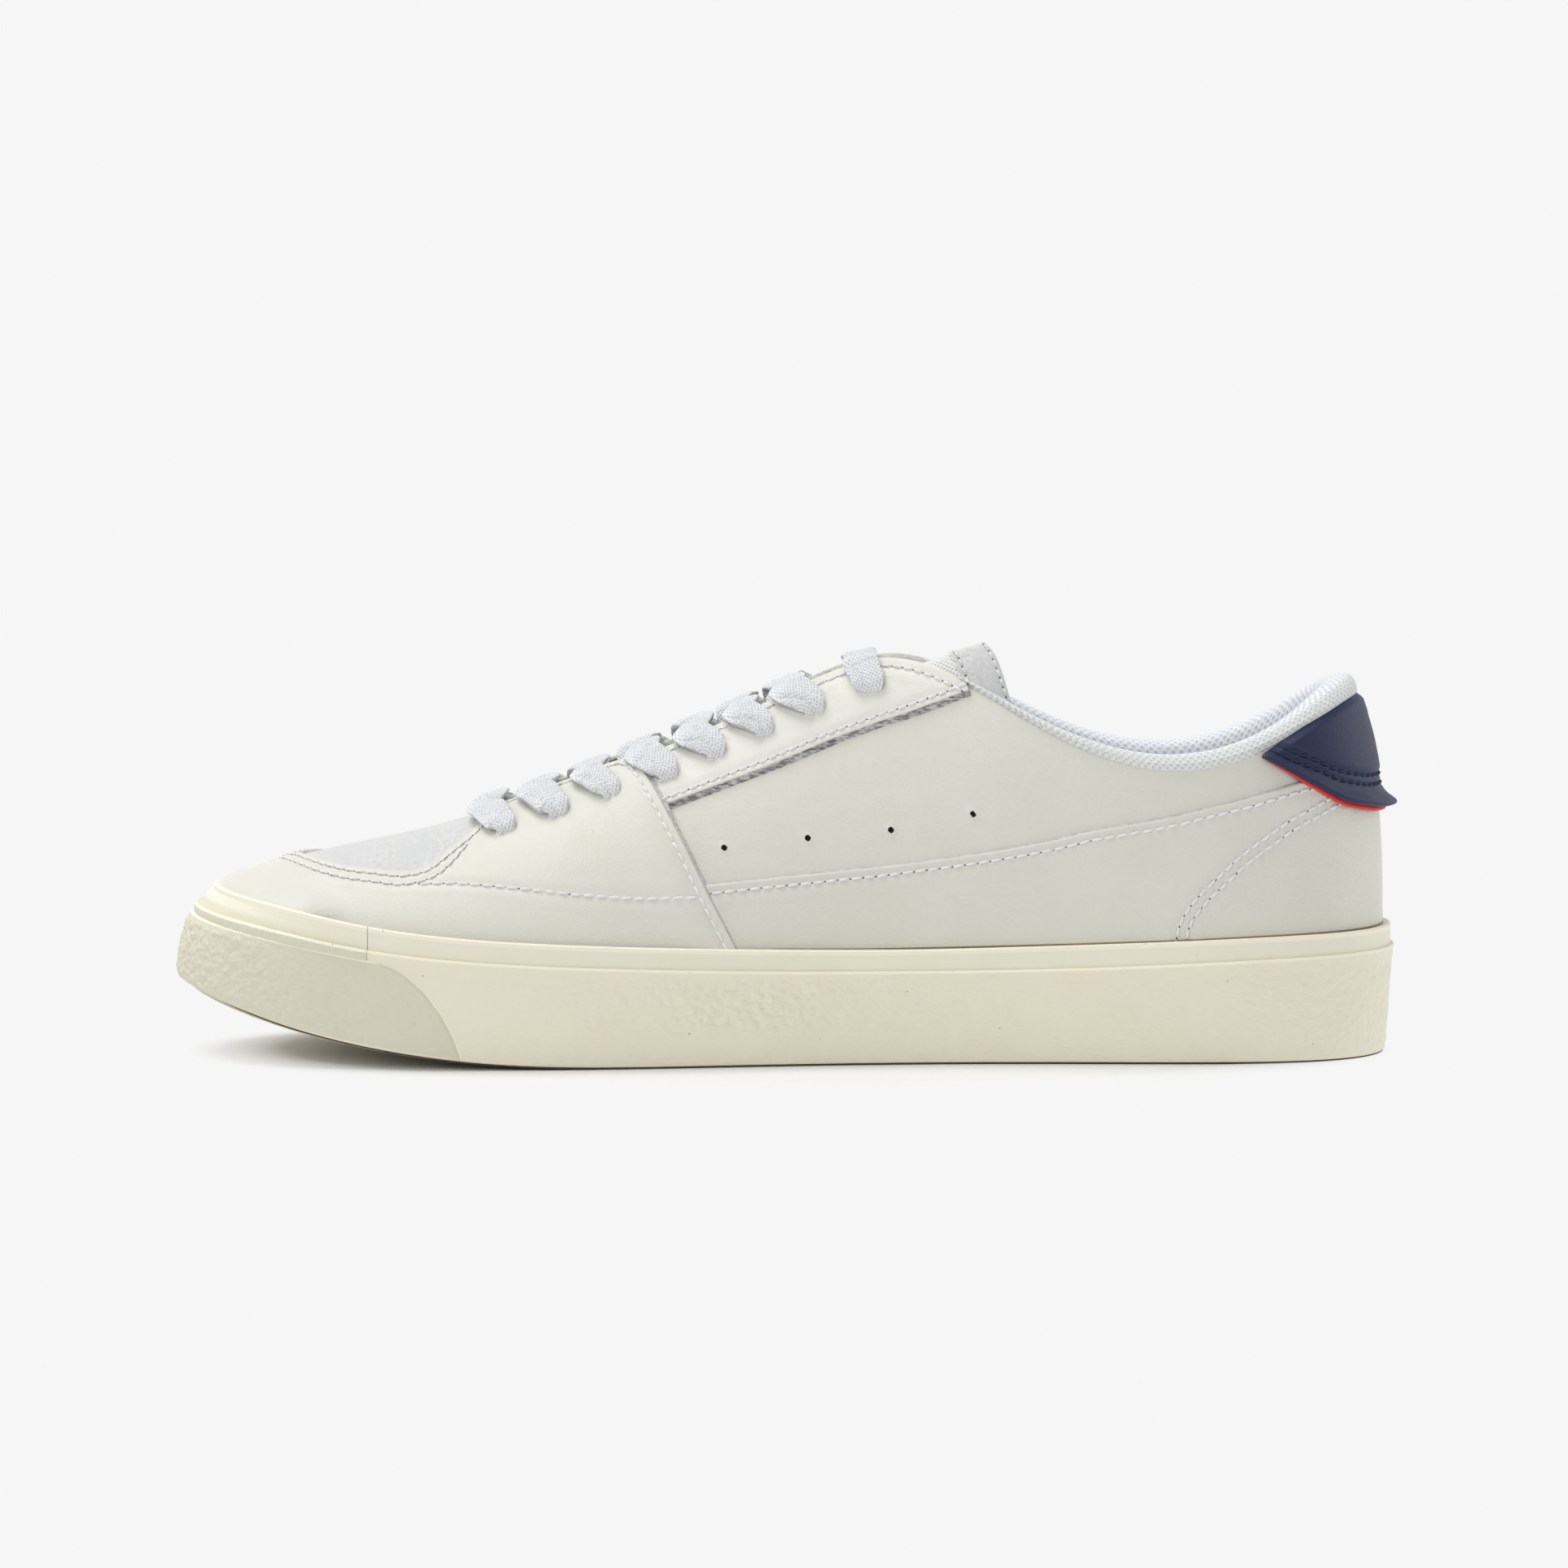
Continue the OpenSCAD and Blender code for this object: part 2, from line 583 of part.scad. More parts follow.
module heel_tab_underlay() {
    color([0.9, 0.16, 0.16])
        wrap_panel(underlay_lower, underlay_upper, 12, 4, overlay_hi - 0.1, overlay_lo + 0.1);
}

// ---- collar: a padded roll with a knit skin ----
collar_start = 8.95;
collar_steps = 20;
// Each corner is [offset from the base surface, height above the collar edge]
function edge_cover(k) = lerp(1.8, 3, smooth_step(9.2, 10.6, k)) + 1.2 * smooth_step(12.6, 14, k);
// The roll reaches down inside less at its front ends
function collar_depth(k) = lerp(0.35, 1, smooth_step(8.95, 10.4, k));
function section_len(k, side) = norm(base_point(k, 1, side) - base_point(k, 0.55, side)) / 0.45;
function collar_point(k, side, c) =
    let (
        v = 1 + min(c[1], 0) / section_len(k, side),
        up = unit(base_point(k, 1, side) - base_point(k, 0.97, side))
    )
    skin_point(k, v, side, c[0]) + max(c[1], 0) * up;
function collar_row(k, side, corners) = [for (c = corners) collar_point(k, side, c)];
function collar_skin_out(k) = let (b = edge_cover(k), d = collar_depth(k)) [
    [1, -b - 4], [1, -b - 0.3], [3, -b + 1.2], [3.2, -0.6], [1.8, 1.6], [-1.2, 2.4],
    [-1.2 - 3 * d, 1.2], [-1.2 - 4.8 * d, -3 * d], [-1.2 - 5.2 * d, -9 * d],
    [-1.2 - 4 * d, -15.5 * d], [-1.2 - 1.8 * d, -21.5 * d]
];
function collar_skin_in(k) = let (b = edge_cover(k), d = collar_depth(k)) [
    [0.1, -b - 4], [0.1, -b + 0.3], [1.9, -b + 1.8], [2.1, -0.9], [1.2, 0.5], [-1, 1.2],
    [-0.4 - 2.9 * d, 0.4], [-0.3 - 4.7 * d, -3.2 * d], [-0.3 - 5.1 * d, -9 * d],
    [-0.3 - 3.9 * d, -15.2 * d], [-0.3 - 1.7 * d, -21 * d]
];
function collar_foam_out(k) = let (d = collar_depth(k)) [
    [0.1 - 1.5 * d, -20 * d], [0.1 - 3.7 * d, -14.8 * d], [0.1 - 5 * d, -9 * d],
    [0.1 - 4.6 * d, -3.5 * d], [-0.1 - 2.7 * d, -0.4], [-0.8, 0.6]
];
function collar_foam_in(k) = let (d = collar_depth(k)) [
    [-0.3, -20 * d], [-0.3, -14.8 * d], [-0.3, -9 * d], [-0.3, -5 * d], [-0.3, -2.4 * d], [-0.3, 0.2]
];
function collar_ks() = [for (i = [0:collar_steps]) lerp(collar_start, HEEL_K, i / collar_steps)];
function collar_grid(corners) = concat(
    [for (k = collar_ks()) collar_row(k, MEDIAL, corners(k))],
    [for (i = [collar_steps - 1:-1:0]) let (k = collar_ks()[i]) collar_row(k, LATERAL, corners(k))]
);
module collar_foam() {
    color([0.95, 0.94, 0.8])
        shell(collar_grid(function (k) collar_foam_out(k)), collar_grid(function (k) collar_foam_in(k)));
}
module collar_lining() {
    color([0.92, 0.92, 0.92])
        shell(collar_grid(function (k) collar_skin_out(k)), collar_grid(function (k) collar_skin_in(k)));
}

// ---- tongue ----
tongue_k0 = 4.45;
tongue_k1 = 8;
tongue_cols = 10;
tongue_rows = 6;
// Steps past the last station: forward, up and narrowing
tongue_steps = [[7, 2.6, 0.94], [14, 5, 0.87], [21, 7.2, 0.8], [28, 9.2, 0.74]];
function tongue_v(k) = lerp(0.73, 0.68, (k - tongue_k0) / (tongue_k1 - tongue_k0));
function tongue_stretch(p, step) =
    let (mid = -outline_centre[1] * width_ratio, droop = abs(p[1] - mid) / 22)
    [
        p[0] + (step[0] + droop * droop * 0.2 * step[0]) * length_ratio,
        mid + (p[1] - mid) * step[2],
        p[2] + step[1] - droop * droop * step[0] * 0.12
    ];
function tongue_grid(off) = concat(
    [
        for (i = [0:tongue_cols])
            let (k = lerp(tongue_k0, tongue_k1, i / tongue_cols))
            over_row(k, tongue_v(k), tongue_rows, off)
    ],
    [
        for (s = tongue_steps)
            [for (p = over_row(tongue_k1, tongue_v(tongue_k1), tongue_rows, off)) tongue_stretch(p, s)]
    ]
);
function cut_rows(grid, first, last) = [for (i = [first:last]) grid[i]];
tongue_last = tongue_cols + len(tongue_steps);
module tongue_shell() {
    color([0.92, 0.92, 0.9])
        shell(tongue_grid(tongue_hi), tongue_grid(tongue_hi - tongue_shell_t));
}
module tongue_foam() {
    color([0.95, 0.94, 0.8])
        shell(tongue_grid(tongue_foam_hi), tongue_grid(tongue_foam_hi - tongue_foam_t));
}
module tongue_lining() {
    color([0.93, 0.93, 0.92])
        shell(tongue_grid(tongue_lining_hi), tongue_grid(tongue_lo));
}
tip_off = tongue_hi + gap;
module tongue_tip() {
    color([0.86, 0.865, 0.855])
        shell(
            cut_rows(tongue_grid(tip_off + 1), tongue_last - 2, tongue_last),
            cut_rows(tongue_grid(tip_off), tongue_last - 2, tongue_last)
        );
}
label_half_k = 0.3;
module tongue_label() {
    k0 = tongue_k1 - 2 * label_half_k;
    hi = tongue_lo - gap;
    color([0.95, 0.95, 0.95])
        shell(
            [for (i = [0:3]) over_row(k0 + i * 0.15, 0.86, 3, hi)],
            [for (i = [0:3]) over_row(k0 + i * 0.15, 0.86, 3, hi - 0.4)]
        );
}

// ---- lace: one flat cord, threaded over each eyestay edge and down through each eyelet ----
under_off = -2.75;
over_off = overlay_hi + 1.2;
high_cross = 4.2;
low_cross = 1.2;
hole_w = 3.4;
hole_t = 1.9;
function throat_v(k) = lookup(k, throat_edge);
// A route point is [station, height share, side, offset, width, thickness, 1 if it lies tucked in]
// It comes over the edge and goes down the hole ...
function dive(i, side) =
    let (e = eyelets[i], top = throat_v(e[0]))
    [
        [e[0] - 0.03, lerp(e[1], top, 0.75), side, over_off + 0.1, lace_w, lace_t, 0],
        [e[0] - 0.01, lerp(e[1], top, 0.35), side, over_off, lace_w * 0.85, lace_t, 0],
        [e[0], e[1] + 0.022, side, over_off - 0.1, lace_w * 0.6, lace_t, 0],
        [e[0], e[1] + 0.002, side, 4.3, hole_w, hole_t, 0],
        [e[0], e[1], side, 2, hole_w, hole_t, 0],
        [e[0], e[1], side, -1, hole_w, hole_t, 0]
    ];
// ... then under the edge to the throat ...
function rise(i, side) =
    let (e = eyelets[i])
    [
        [e[0] + 0.01, e[1] + 0.006, side, under_off + 0.3, lace_w * 0.45, lace_t, 0],
        [e[0] + 0.05, e[1] + 0.032, side, under_off, lace_w * 0.6, lace_t, 0],
        [e[0] + 0.16, lerp(e[1], throat_v(e[0] + 0.16), 0.75), side, under_off, lace_w * 0.8, lace_t, 0],
        [e[0] + 0.22, throat_v(e[0] + 0.22) + 0.035, side, -1.2, lace_w * 0.85, lace_t, 0]
    ];
// ... and across it to the next eyelet on the other side
function cross_over(i, side, high) =
    let (k = eyelets[i][0])
    [
        [k + 0.28, 0.985, side, high ? high_cross : low_cross, lace_w, lace_t, 0],
        [k + 0.4, 0.95, -side, high ? high_cross : high_cross - 0.4, lace_w, lace_t, 0]
    ];
function tuck_in(side) = [
    [7.95, 0.835, side, under_off + 0.3, lace_w * 0.45, lace_t, 0],
    [7.9, 0.8, side, under_off, lace_w * 0.6, lace_t, 0.3],
    [7.75, 0.72, side, under_off, lace_w * 0.8, lace_t, 0.8],
    [7.5, 0.65, side, under_off, lace_w, lace_t, 1],
    [7.15, 0.58, side, under_off, lace_w, lace_t, 1],
    [6.75, 0.53, side, under_off, lace_w, lace_t, 1],
    [6.3, 0.48, side, under_off, lace_w * 0.8, lace_t, 1],
    [end_spot[0], end_spot[1], side, under_off, 3, lace_t, 1]
];
end_spot = [5.75, 0.44];
function lace_half(first_side, high) = [
    for (i = [0:7])
        let (side = i % 2 == 0 ? first_side : -first_side)
        each concat(
            dive(i, side),
            i < 7 ? concat(rise(i, side), cross_over(i, side, high)) : tuck_in(side)
        )
];
function reverse(a) = [for (i = [len(a) - 1:-1:0]) a[i]];
module lace() {
    half_a = lace_half(LATERAL, false);
    half_b = lace_half(MEDIAL, true);
    bar = [[eyelets[0][0] - 0.04, 1, MEDIAL, over_off + 0.1, lace_w, lace_t, 0]];
    route = concat(reverse(half_a), bar, half_b);
    middle = len(half_a);
    last = len(route) - 1;
    xyz = [for (q = route) skin_point(q[0], q[1], q[2], q[3])];
    rings = [
        for (i = [0:last])
            let (
                q = route[i],
                dir = unit(xyz[min(i + 1, last)] - xyz[max(i - 1, 0)]),
                travel = i < middle ? -1 : 1,
                fore = base_point(q[0] + 0.05, q[1], q[2]) - base_point(q[0] - 0.05, q[1], q[2]),
                flat = -travel * q[2] * cross(base_normal(q[0], q[1], q[2]), dir),
                raw = lerp(unit(fore), flat, q[6]),
                wide = unit(raw - (raw * dir) * dir),
                thick = cross(dir, wide)
            )
            [for (c = lace_corners) xyz[i] + c[0] * q[4] / 2 * wide + c[1] * q[5] / 2 * thick]
    ];
    color([0.97, 0.97, 0.98])
        tube(rings);
}
lace_corners = [[1, 0], [0.75, 1], [-0.75, 1], [-1, 0], [-0.75, -1], [0.75, -1]];
module tube(rings) {
    n = len(rings);
    m = len(rings[0]);
    function at(i, j) = i * m + j % m;
    points = [for (r = rings) for (p = r) p];
    faces = [
        for (i = [0:n - 2]) for (j = [0:m - 1])
            each two(at(i, j), at(i + 1, j), at(i + 1, j + 1), at(i, j + 1), false),
        for (j = [1:m - 2]) [at(0, 0), at(0, j), at(0, j + 1)],
        for (j = [1:m - 2]) [at(n - 1, 0), at(n - 1, j + 1), at(n - 1, j)]
    ];
    polyhedron(points, faces, convexity = 10);
}
aglet_d = 2.2;
aglet_l = 14;
module aglets() {
    color([0.93, 0.93, 0.93]) {
        aglet(MEDIAL);
        aglet(LATERAL);
    }
}
module aglet(side) {
    tip = skin_point(end_spot[0], end_spot[1], side, under_off - 0.2);
    back = skin_point(end_spot[0] + 0.4, end_spot[1] + 0.03, side, under_off);
    d = unit(tip - back);
    translate(tip + 0.8 * d)
        rotate([0, acos(d[2]), atan2(d[1], d[0])])
            cylinder(h = aglet_l, d = aglet_d, $fn = 24);
}

outsole();
midsole_filler();
foxing_lower();
foxing_tape_rear();
foxing_tape_toe();
toe_strip();
toe_bumper();
lasting_board();
footbed_foam();
footbed_cover();
toe_puff();
heel_counter();
vamp_lining();
quarter_lining_medial();
quarter_lining_lateral();
suede_toe_panel();
front_overlay();
quarter_medial();
quarter_lateral();
eyestay_medial();
eyestay_lateral();
eyelet_reinforcement_medial();
eyelet_reinforcement_lateral();
heel_overlay();
collar_foam();
collar_lining();
heel_tab();
heel_tab_underlay();
tongue_shell();
tongue_foam();
tongue_lining();
tongue_tip();
tongue_label();
lace();
aglets();
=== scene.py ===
"""Looks of the court shoe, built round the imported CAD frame. Lengths in the maths are millimetres."""

import math
import random

import bmesh
import bpy
import numpy as np
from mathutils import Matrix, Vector, kdtree, noise


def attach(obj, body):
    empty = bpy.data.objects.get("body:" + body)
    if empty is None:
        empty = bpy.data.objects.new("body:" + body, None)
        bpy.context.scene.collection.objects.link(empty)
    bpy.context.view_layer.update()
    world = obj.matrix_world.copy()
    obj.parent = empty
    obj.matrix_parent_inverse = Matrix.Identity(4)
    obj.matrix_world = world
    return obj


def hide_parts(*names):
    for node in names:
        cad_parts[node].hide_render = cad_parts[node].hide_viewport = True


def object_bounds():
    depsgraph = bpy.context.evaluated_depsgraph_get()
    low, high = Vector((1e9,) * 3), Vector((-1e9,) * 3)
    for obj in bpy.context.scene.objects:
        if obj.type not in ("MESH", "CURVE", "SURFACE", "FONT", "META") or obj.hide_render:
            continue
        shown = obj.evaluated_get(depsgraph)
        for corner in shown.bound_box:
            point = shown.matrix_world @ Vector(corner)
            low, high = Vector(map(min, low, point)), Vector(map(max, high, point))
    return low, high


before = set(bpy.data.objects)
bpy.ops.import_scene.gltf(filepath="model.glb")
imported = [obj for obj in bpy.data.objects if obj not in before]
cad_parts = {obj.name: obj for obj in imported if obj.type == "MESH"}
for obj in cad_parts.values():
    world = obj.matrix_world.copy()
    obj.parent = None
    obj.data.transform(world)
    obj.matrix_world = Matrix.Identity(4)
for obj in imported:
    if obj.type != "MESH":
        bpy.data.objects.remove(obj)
CAD_LO, CAD_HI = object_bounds()
MM = 0.001
MEDIAL, LATERAL = -1, 1
HEEL_K = 14
# The frame's own size sets the ratios, so that the looks follow the CAD
RATIO_X = (CAD_HI.x - CAD_LO.x) / 0.29913
RATIO_Y = (CAD_HI.y - CAD_LO.y) / 0.10705
MIDDLE_X = (CAD_HI.x + CAD_LO.x) / 2 / MM + 0.19
MIDDLE_Y = (CAD_HI.y + CAD_LO.y) / 2 / MM + 0.01
dice = random.Random(7)


# ---- camera, floor and lights ----
def aim(obj, target):
    """Turns a camera or a light to look at a point."""
    obj.rotation_mode = "QUATERNION"
    obj.rotation_quaternion = (Vector(target) - obj.location).to_track_quat("-Z", "Y")


# The spot that the CAD's plan is written about, from the middle of its box, in mm
ORIGIN_X, ORIGIN_Y = 0.24, -2.88
CAMERA_ELEVATION = 4.7
CAMERA_DISTANCE = 1.5
CAMERA_LENS = 139.75
FOCUS_HEIGHT = 50
FRAME_UP, FRAME_LEFT = 0.0152, 0.001


def make_camera():
    elevation = math.radians(CAMERA_ELEVATION)
    focus = Vector((MIDDLE_X + ORIGIN_X, MIDDLE_Y + ORIGIN_Y, FOCUS_HEIGHT)) * MM
    back = Vector((0, -math.cos(elevation), math.sin(elevation)))
    up = Vector((0, math.sin(elevation), math.cos(elevation)))
    data = bpy.data.cameras.new("camera")
    data.sensor_width = 36
    data.lens = CAMERA_LENS
    data.clip_start, data.clip_end = 0.1, 30
    camera = bpy.data.objects.new("camera", data)
    bpy.context.scene.collection.objects.link(camera)
    camera.location = focus + back * CAMERA_DISTANCE
    aim(camera, focus + up * FRAME_UP - Vector((FRAME_LEFT, 0, 0)))
    bpy.context.scene.camera = camera


make_camera()
bpy.context.scene.view_settings.view_transform = "Standard"


class Mat:
    """A node material: add() makes a node, links or sets its inputs, and the shader is .shader."""

    def __init__(self, name, colour, roughness, **sockets):
        self.m = bpy.data.materials.new(name)
        self.m.use_nodes = True
        self.tree = self.m.node_tree
        self.shader = next(n for n in self.tree.nodes if n.type == "BSDF_PRINCIPLED")
        self.shader.inputs["Base Color"].default_value = linear(colour)
        self.shader.inputs["Roughness"].default_value = roughness
        for key, value in sockets.items():
            self.shader.inputs[key.replace("_", " ")].default_value = value
        self.m.diffuse_color = linear(colour)

    def add(self, kind, props=None, **inputs):
        node = self.tree.nodes.new("ShaderNode" + kind)
        for key, value in (props or {}).items():
            setattr(node, key, value)
        for key, value in inputs.items():
            number = key[1:] if key[0] == "i" and key[1:].isdigit() else None
            socket = node.inputs[int(number)] if number else node.inputs[key.replace("_", " ")]
            if isinstance(value, bpy.types.NodeSocket):
                self.tree.links.new(value, socket)
            else:
                socket.default_value = value
        return node

    def math(self, operation, a, b=None, c=None):
        values = {"i0": a}
        if b is not None:
            values["i1"] = b
        if c is not None:
            values["i2"] = c
        return self.add("Math", {"operation": operation}, **values).outputs[0]

    def coords(self, stretch=(1, 1, 1)):
        """Object coordinates in millimetres."""
        space = self.add("TexCoord").outputs["Object"]
        return self.add("Mapping", Vector=space, Scale=[1000 * s for s in stretch]).outputs[0]

    def uv(self, stretch=(1, 1, 1), turn=0.0):
        space = self.add("UVMap", {"uv_map": "UVMap"}).outputs[0]
        return self.add("Mapping", Vector=space, Scale=stretch, Rotation=(0, 0, turn)).outputs[0]

    def noise(self, at, scale, detail=2.0, rough=0.5):
        return self.add("TexNoise", Vector=at, Scale=scale, Detail=detail, Roughness=rough).outputs["Fac"]

    def voronoi(self, at, scale, feature="F1", dims="3D", random_share=1.0):
        node = self.add("TexVoronoi", {"feature": feature, "voronoi_dimensions": dims}, Vector=at,
                        Scale=scale, Randomness=random_share)
        return node.outputs["Distance"]

    def ramp(self, value, lo, hi, to_lo=0.0, to_hi=1.0):
        return self.add("MapRange", i0=value, i1=lo, i2=hi, i3=to_lo, i4=to_hi).outputs[0]

    def mix(self, share, a, b):
        node = self.add("Mix", {"data_type": "RGBA"})
        for index, value in ((0, share), (6, a), (7, b)):
            socket = node.inputs[index]
            if isinstance(value, bpy.types.NodeSocket):
                self.tree.links.new(value, socket)
            else:
                socket.default_value = value if index == 0 else linear(value)
        return node.outputs[2]

    def colour(self, socket):
        self.tree.links.new(socket, self.shader.inputs["Base Color"])

    def rough(self, socket):
        self.tree.links.new(socket, self.shader.inputs["Roughness"])

    def bump(self, height, depth_mm):
        node = self.add("Bump", Height=height, Distance=depth_mm * MM, Strength=1.0)
        self.tree.links.new(node.outputs[0], self.shader.inputs["Normal"])


def linear(rgb):
    """sRGB 0 to 255 as a linear colour."""
    parts = [c / 255 for c in rgb[:3]]
    return [c / 12.92 if c <= 0.04045 else ((c + 0.055) / 1.055) ** 2.4 for c in parts] + [1.0]


PAPER_GREY = (235, 235, 235)
BACKDROP_GREY = (246, 246, 246)
# Distances in metres from the middle, with y stretched, over which the paper's shadow fades into the backdrop
SHADOW_FADE = (0.124, 0.15)
SHADOW_Y_STRETCH = 1.7


def make_floor():
    half, back_y, tall = 6.0, 4.0, 4.0
    bend = np.linspace(0, 1.5707, 14)
    rows = [(-half, 0.0)] + [(back_y - 1 + math.sin(a), 1 - math.cos(a)) for a in bend]
    rows.append((back_y, tall))
    points = [(x, y, z) for y, z in rows for x in (-half, half)]
    faces = [(2 * i, 2 * i + 1, 2 * i + 3, 2 * i + 2) for i in range(len(rows) - 1)]
    data = bpy.data.meshes.new("floor")
    data.from_pydata(points, [], faces)
    floor = bpy.data.objects.new("floor", data)
    bpy.context.scene.collection.objects.link(floor)
    paper = Mat("paper", PAPER_GREY, 0.95, Specular_IOR_Level=0.0)
    metres = paper.coords((MM, MM * SHADOW_Y_STRETCH, MM))
    away = paper.add("VectorMath", {"operation": "LENGTH"}, i0=metres).outputs["Value"]
    glow = paper.add("Emission", Color=linear(BACKDROP_GREY))
    paper.bump(paper.noise(paper.coords(), 0.4), 0.02)
    fade = paper.ramp(away, *SHADOW_FADE)
    mixer = paper.add("MixShader", Fac=fade, i1=paper.shader.outputs[0], i2=glow.outputs[0])
    output = next(n for n in paper.tree.nodes if n.type == "OUTPUT_MATERIAL")
    paper.tree.links.new(mixer.outputs[0], output.inputs["Surface"])
    data.materials.append(paper.m)


def make_light(name, place, target, size, power):
    data = bpy.data.lights.new(name, "AREA")
    data.shape = "RECTANGLE"
    data.size, data.size_y = size
    data.energy = power
    light = bpy.data.objects.new(name, data)
    bpy.context.scene.collection.objects.link(light)
    light.location = place
    aim(light, target)


make_floor()
make_light("overhead", (-0.42, 0.1, 1.45), (0, 0, 0), (1.0, 0.9), 13.5)
make_light("front_fill", (-0.7, -1.7, 1.0), (0, 0, 0.05), (1.2, 1.0), 10.0)
make_light("left_rim", (-1.3, 0.2, 0.8), (0, 0, 0.05), (0.6, 0.6), 1.8)
make_light("right_rim", (1.3, 0.35, 0.5), (0, 0, 0.05), (0.8, 0.9), 4.5)
WORLD_STRENGTH = 0.36
world = bpy.data.worlds.new("studio")
bpy.context.scene.world = world
world.use_nodes = True
background = world.node_tree.nodes["Background"]
background.inputs["Color"].default_value = (1, 1, 1, 1)
background.inputs["Strength"].default_value = WORLD_STRENGTH

# ---- curves of the sole and the upper, as the CAD has them ----
SOLE_MEDIAL = [
    (-151.5, -6), (-146.5, -25), (-132, -40.5), (-108, -48.5), (-80, -51.5), (-52, -50.8), (-24, -46.5),
    (4, -41.3), (32, -38.2), (60, -37.3), (86, -38.2), (110, -38.2), (131, -34), (146, -21), (151.3, 0),
]
SOLE_LATERAL = [
    (-151.5, -6), (-147.5, 13), (-134, 30), (-109, 44), (-80, 52.5), (-52, 57.2), (-24, 56.8),
    (4, 53), (32, 48.3), (60, 44.6), (86, 42.4), (110, 40), (131, 34.5), (146, 21), (151.3, 0),
]
CREST = [
    (-141.5, -4.8, 31), (-135, -5, 39.5), (-122, -5, 45), (-101, -4, 49), (-78, -3, 53.8),
    (-52, -2, 65), (-26, -1, 76), (-2, -1, 86.5), (20, -3.5, 96.5), (42, -17, 92.5),
    (66, -26, 77.5), (91, -28.5, 70.5), (114, -26, 75.5), (130, -17, 87), (138.9, 0, 92.4),
]
SECTION = [
    (5, 0.5, 3, 0, 0), (10, 1, 12, 0, 1), (14, 1.5, 21, 0, 0.8), (17, 1.3, 23, 0, 0.5),
    (24, 1, 23, 0, 0.3), (30, 0, 19, 0, 1), (33, -1, 16, 0, 2), (34, -1, 15, 0, 3),
    (34, -1, 13, 0, 4), (34, -1, 10, 0, 14), (32, 0, 5, 0, 22), (28, 1.5, 3.5, 0, 24),
    (28, 2, 3.5, 0, 24), (28, 2.5, 2, 3, 24), (28, 3.4, 0, 6, 24),
]
GROUND_LINE = [18.5, 10, 4.4, 1, 0, 0, 0, 0, 0, 0, 0, 0, 0]
FEATHER_LINE = [25, 19, 15.5, 14.2, 14, 14, 14, 14, 14, 14, 14, 14, 14]
TAPE_LINE = [41.8, 39.3, 33.9, 31.2, 29.9, 28.9, 28.1, 27.7, 28.2, 29, 30, 31.1, 31.5]
FOXING_LINE = [37, 33.4, 28.3, 25.9, 24.6, 23.7, 22.9, 22.7, 22.8, 23.4, 24.6, 25.8, 26.4]
LOOP = np.array(SOLE_MEDIAL + SOLE_LATERAL[-2:0:-1], float)
LOOP_N = len(LOOP)
FEATHER_INSET = 7.2
OVERLAY_HI, OVERLAY_LO, BASE_HI, BASE_LO = 4.0, 2.9, 2.5, 1.4
LINING_HI, LINING_LO = -0.3, -1.2


def weights(f):
    return [
        (1 - f) ** 3 / 6, (3 * f**3 - 6 * f * f + 4) / 6, (-3 * f**3 + 3 * f * f + 3 * f + 1) / 6, f**3 / 6,
    ]


def slopes(f):
    return [-((1 - f) ** 2) / 2, (3 * f * f - 4 * f) / 2, (-3 * f * f + 2 * f + 1) / 2, f * f / 2]


def spline(points, t, mirror=None):
    """The CAD's curve; mirror is what multiplies the point past the end at the heel."""
    p = np.array(points, float).reshape(len(points), -1)
    after = 2 * p[-1] - p[-2] if mirror is None else p[-2] * np.array(mirror)
    p = np.vstack([2 * p[0] - p[1], p, after])
    t = np.asarray(t, float)
    i = np.clip(np.floor(t).astype(int), 0, len(p) - 4)
    w = weights((t - i)[..., None])
    return sum(w[j] * p[i + j] for j in range(4))


def loop_mix(w, i):
    return sum(w[j] * LOOP[(i + j - 1) % LOOP_N] for j in range(4))


def sized(p):
    x, y = p[..., 0] + ORIGIN_X, p[..., 1] + ORIGIN_Y
    return np.stack([MIDDLE_X + x * RATIO_X, MIDDLE_Y + y * RATIO_Y], -1)


def outline(t, inset=0.0):
    t = np.asarray(t, float) % LOOP_N
    i = np.floor(t).astype(int)
    f = (t - i)[..., None]
    d = loop_mix(slopes(f), i)
    n = np.stack([d[..., 1] * RATIO_X, -d[..., 0] * RATIO_Y], -1)
    n /= np.linalg.norm(n, axis=-1, keepdims=True)
    return sized(loop_mix(weights(f), i)) - np.asarray(inset)[..., None] * n


def outward_at(t):
    """The outline's outward direction in plan."""
    return outline(t, 0.0) - outline(t, 1.0)


def cad_x(x):
    """x as the CAD's plan writes it."""
    return (np.asarray(x, float) - MIDDLE_X) / RATIO_X


def line_z(heights, x):
    """Height of a line round the wall: its heights are 25 mm apart in x, from -150 mm."""
    return spline(heights, (cad_x(x) + 150) / 25)[..., 0]


def toe_lean(x):
    """How far the wall leans back: 0 behind the toe, and about 1 at its tip."""
    return np.clip((-104 - x) / 46, 0, 1) ** 1.4


def smooth_step(a, b, x):
    t = np.clip((np.asarray(x, float) - a) / (b - a), 0, 1)
    return t * t * (3 - 2 * t)


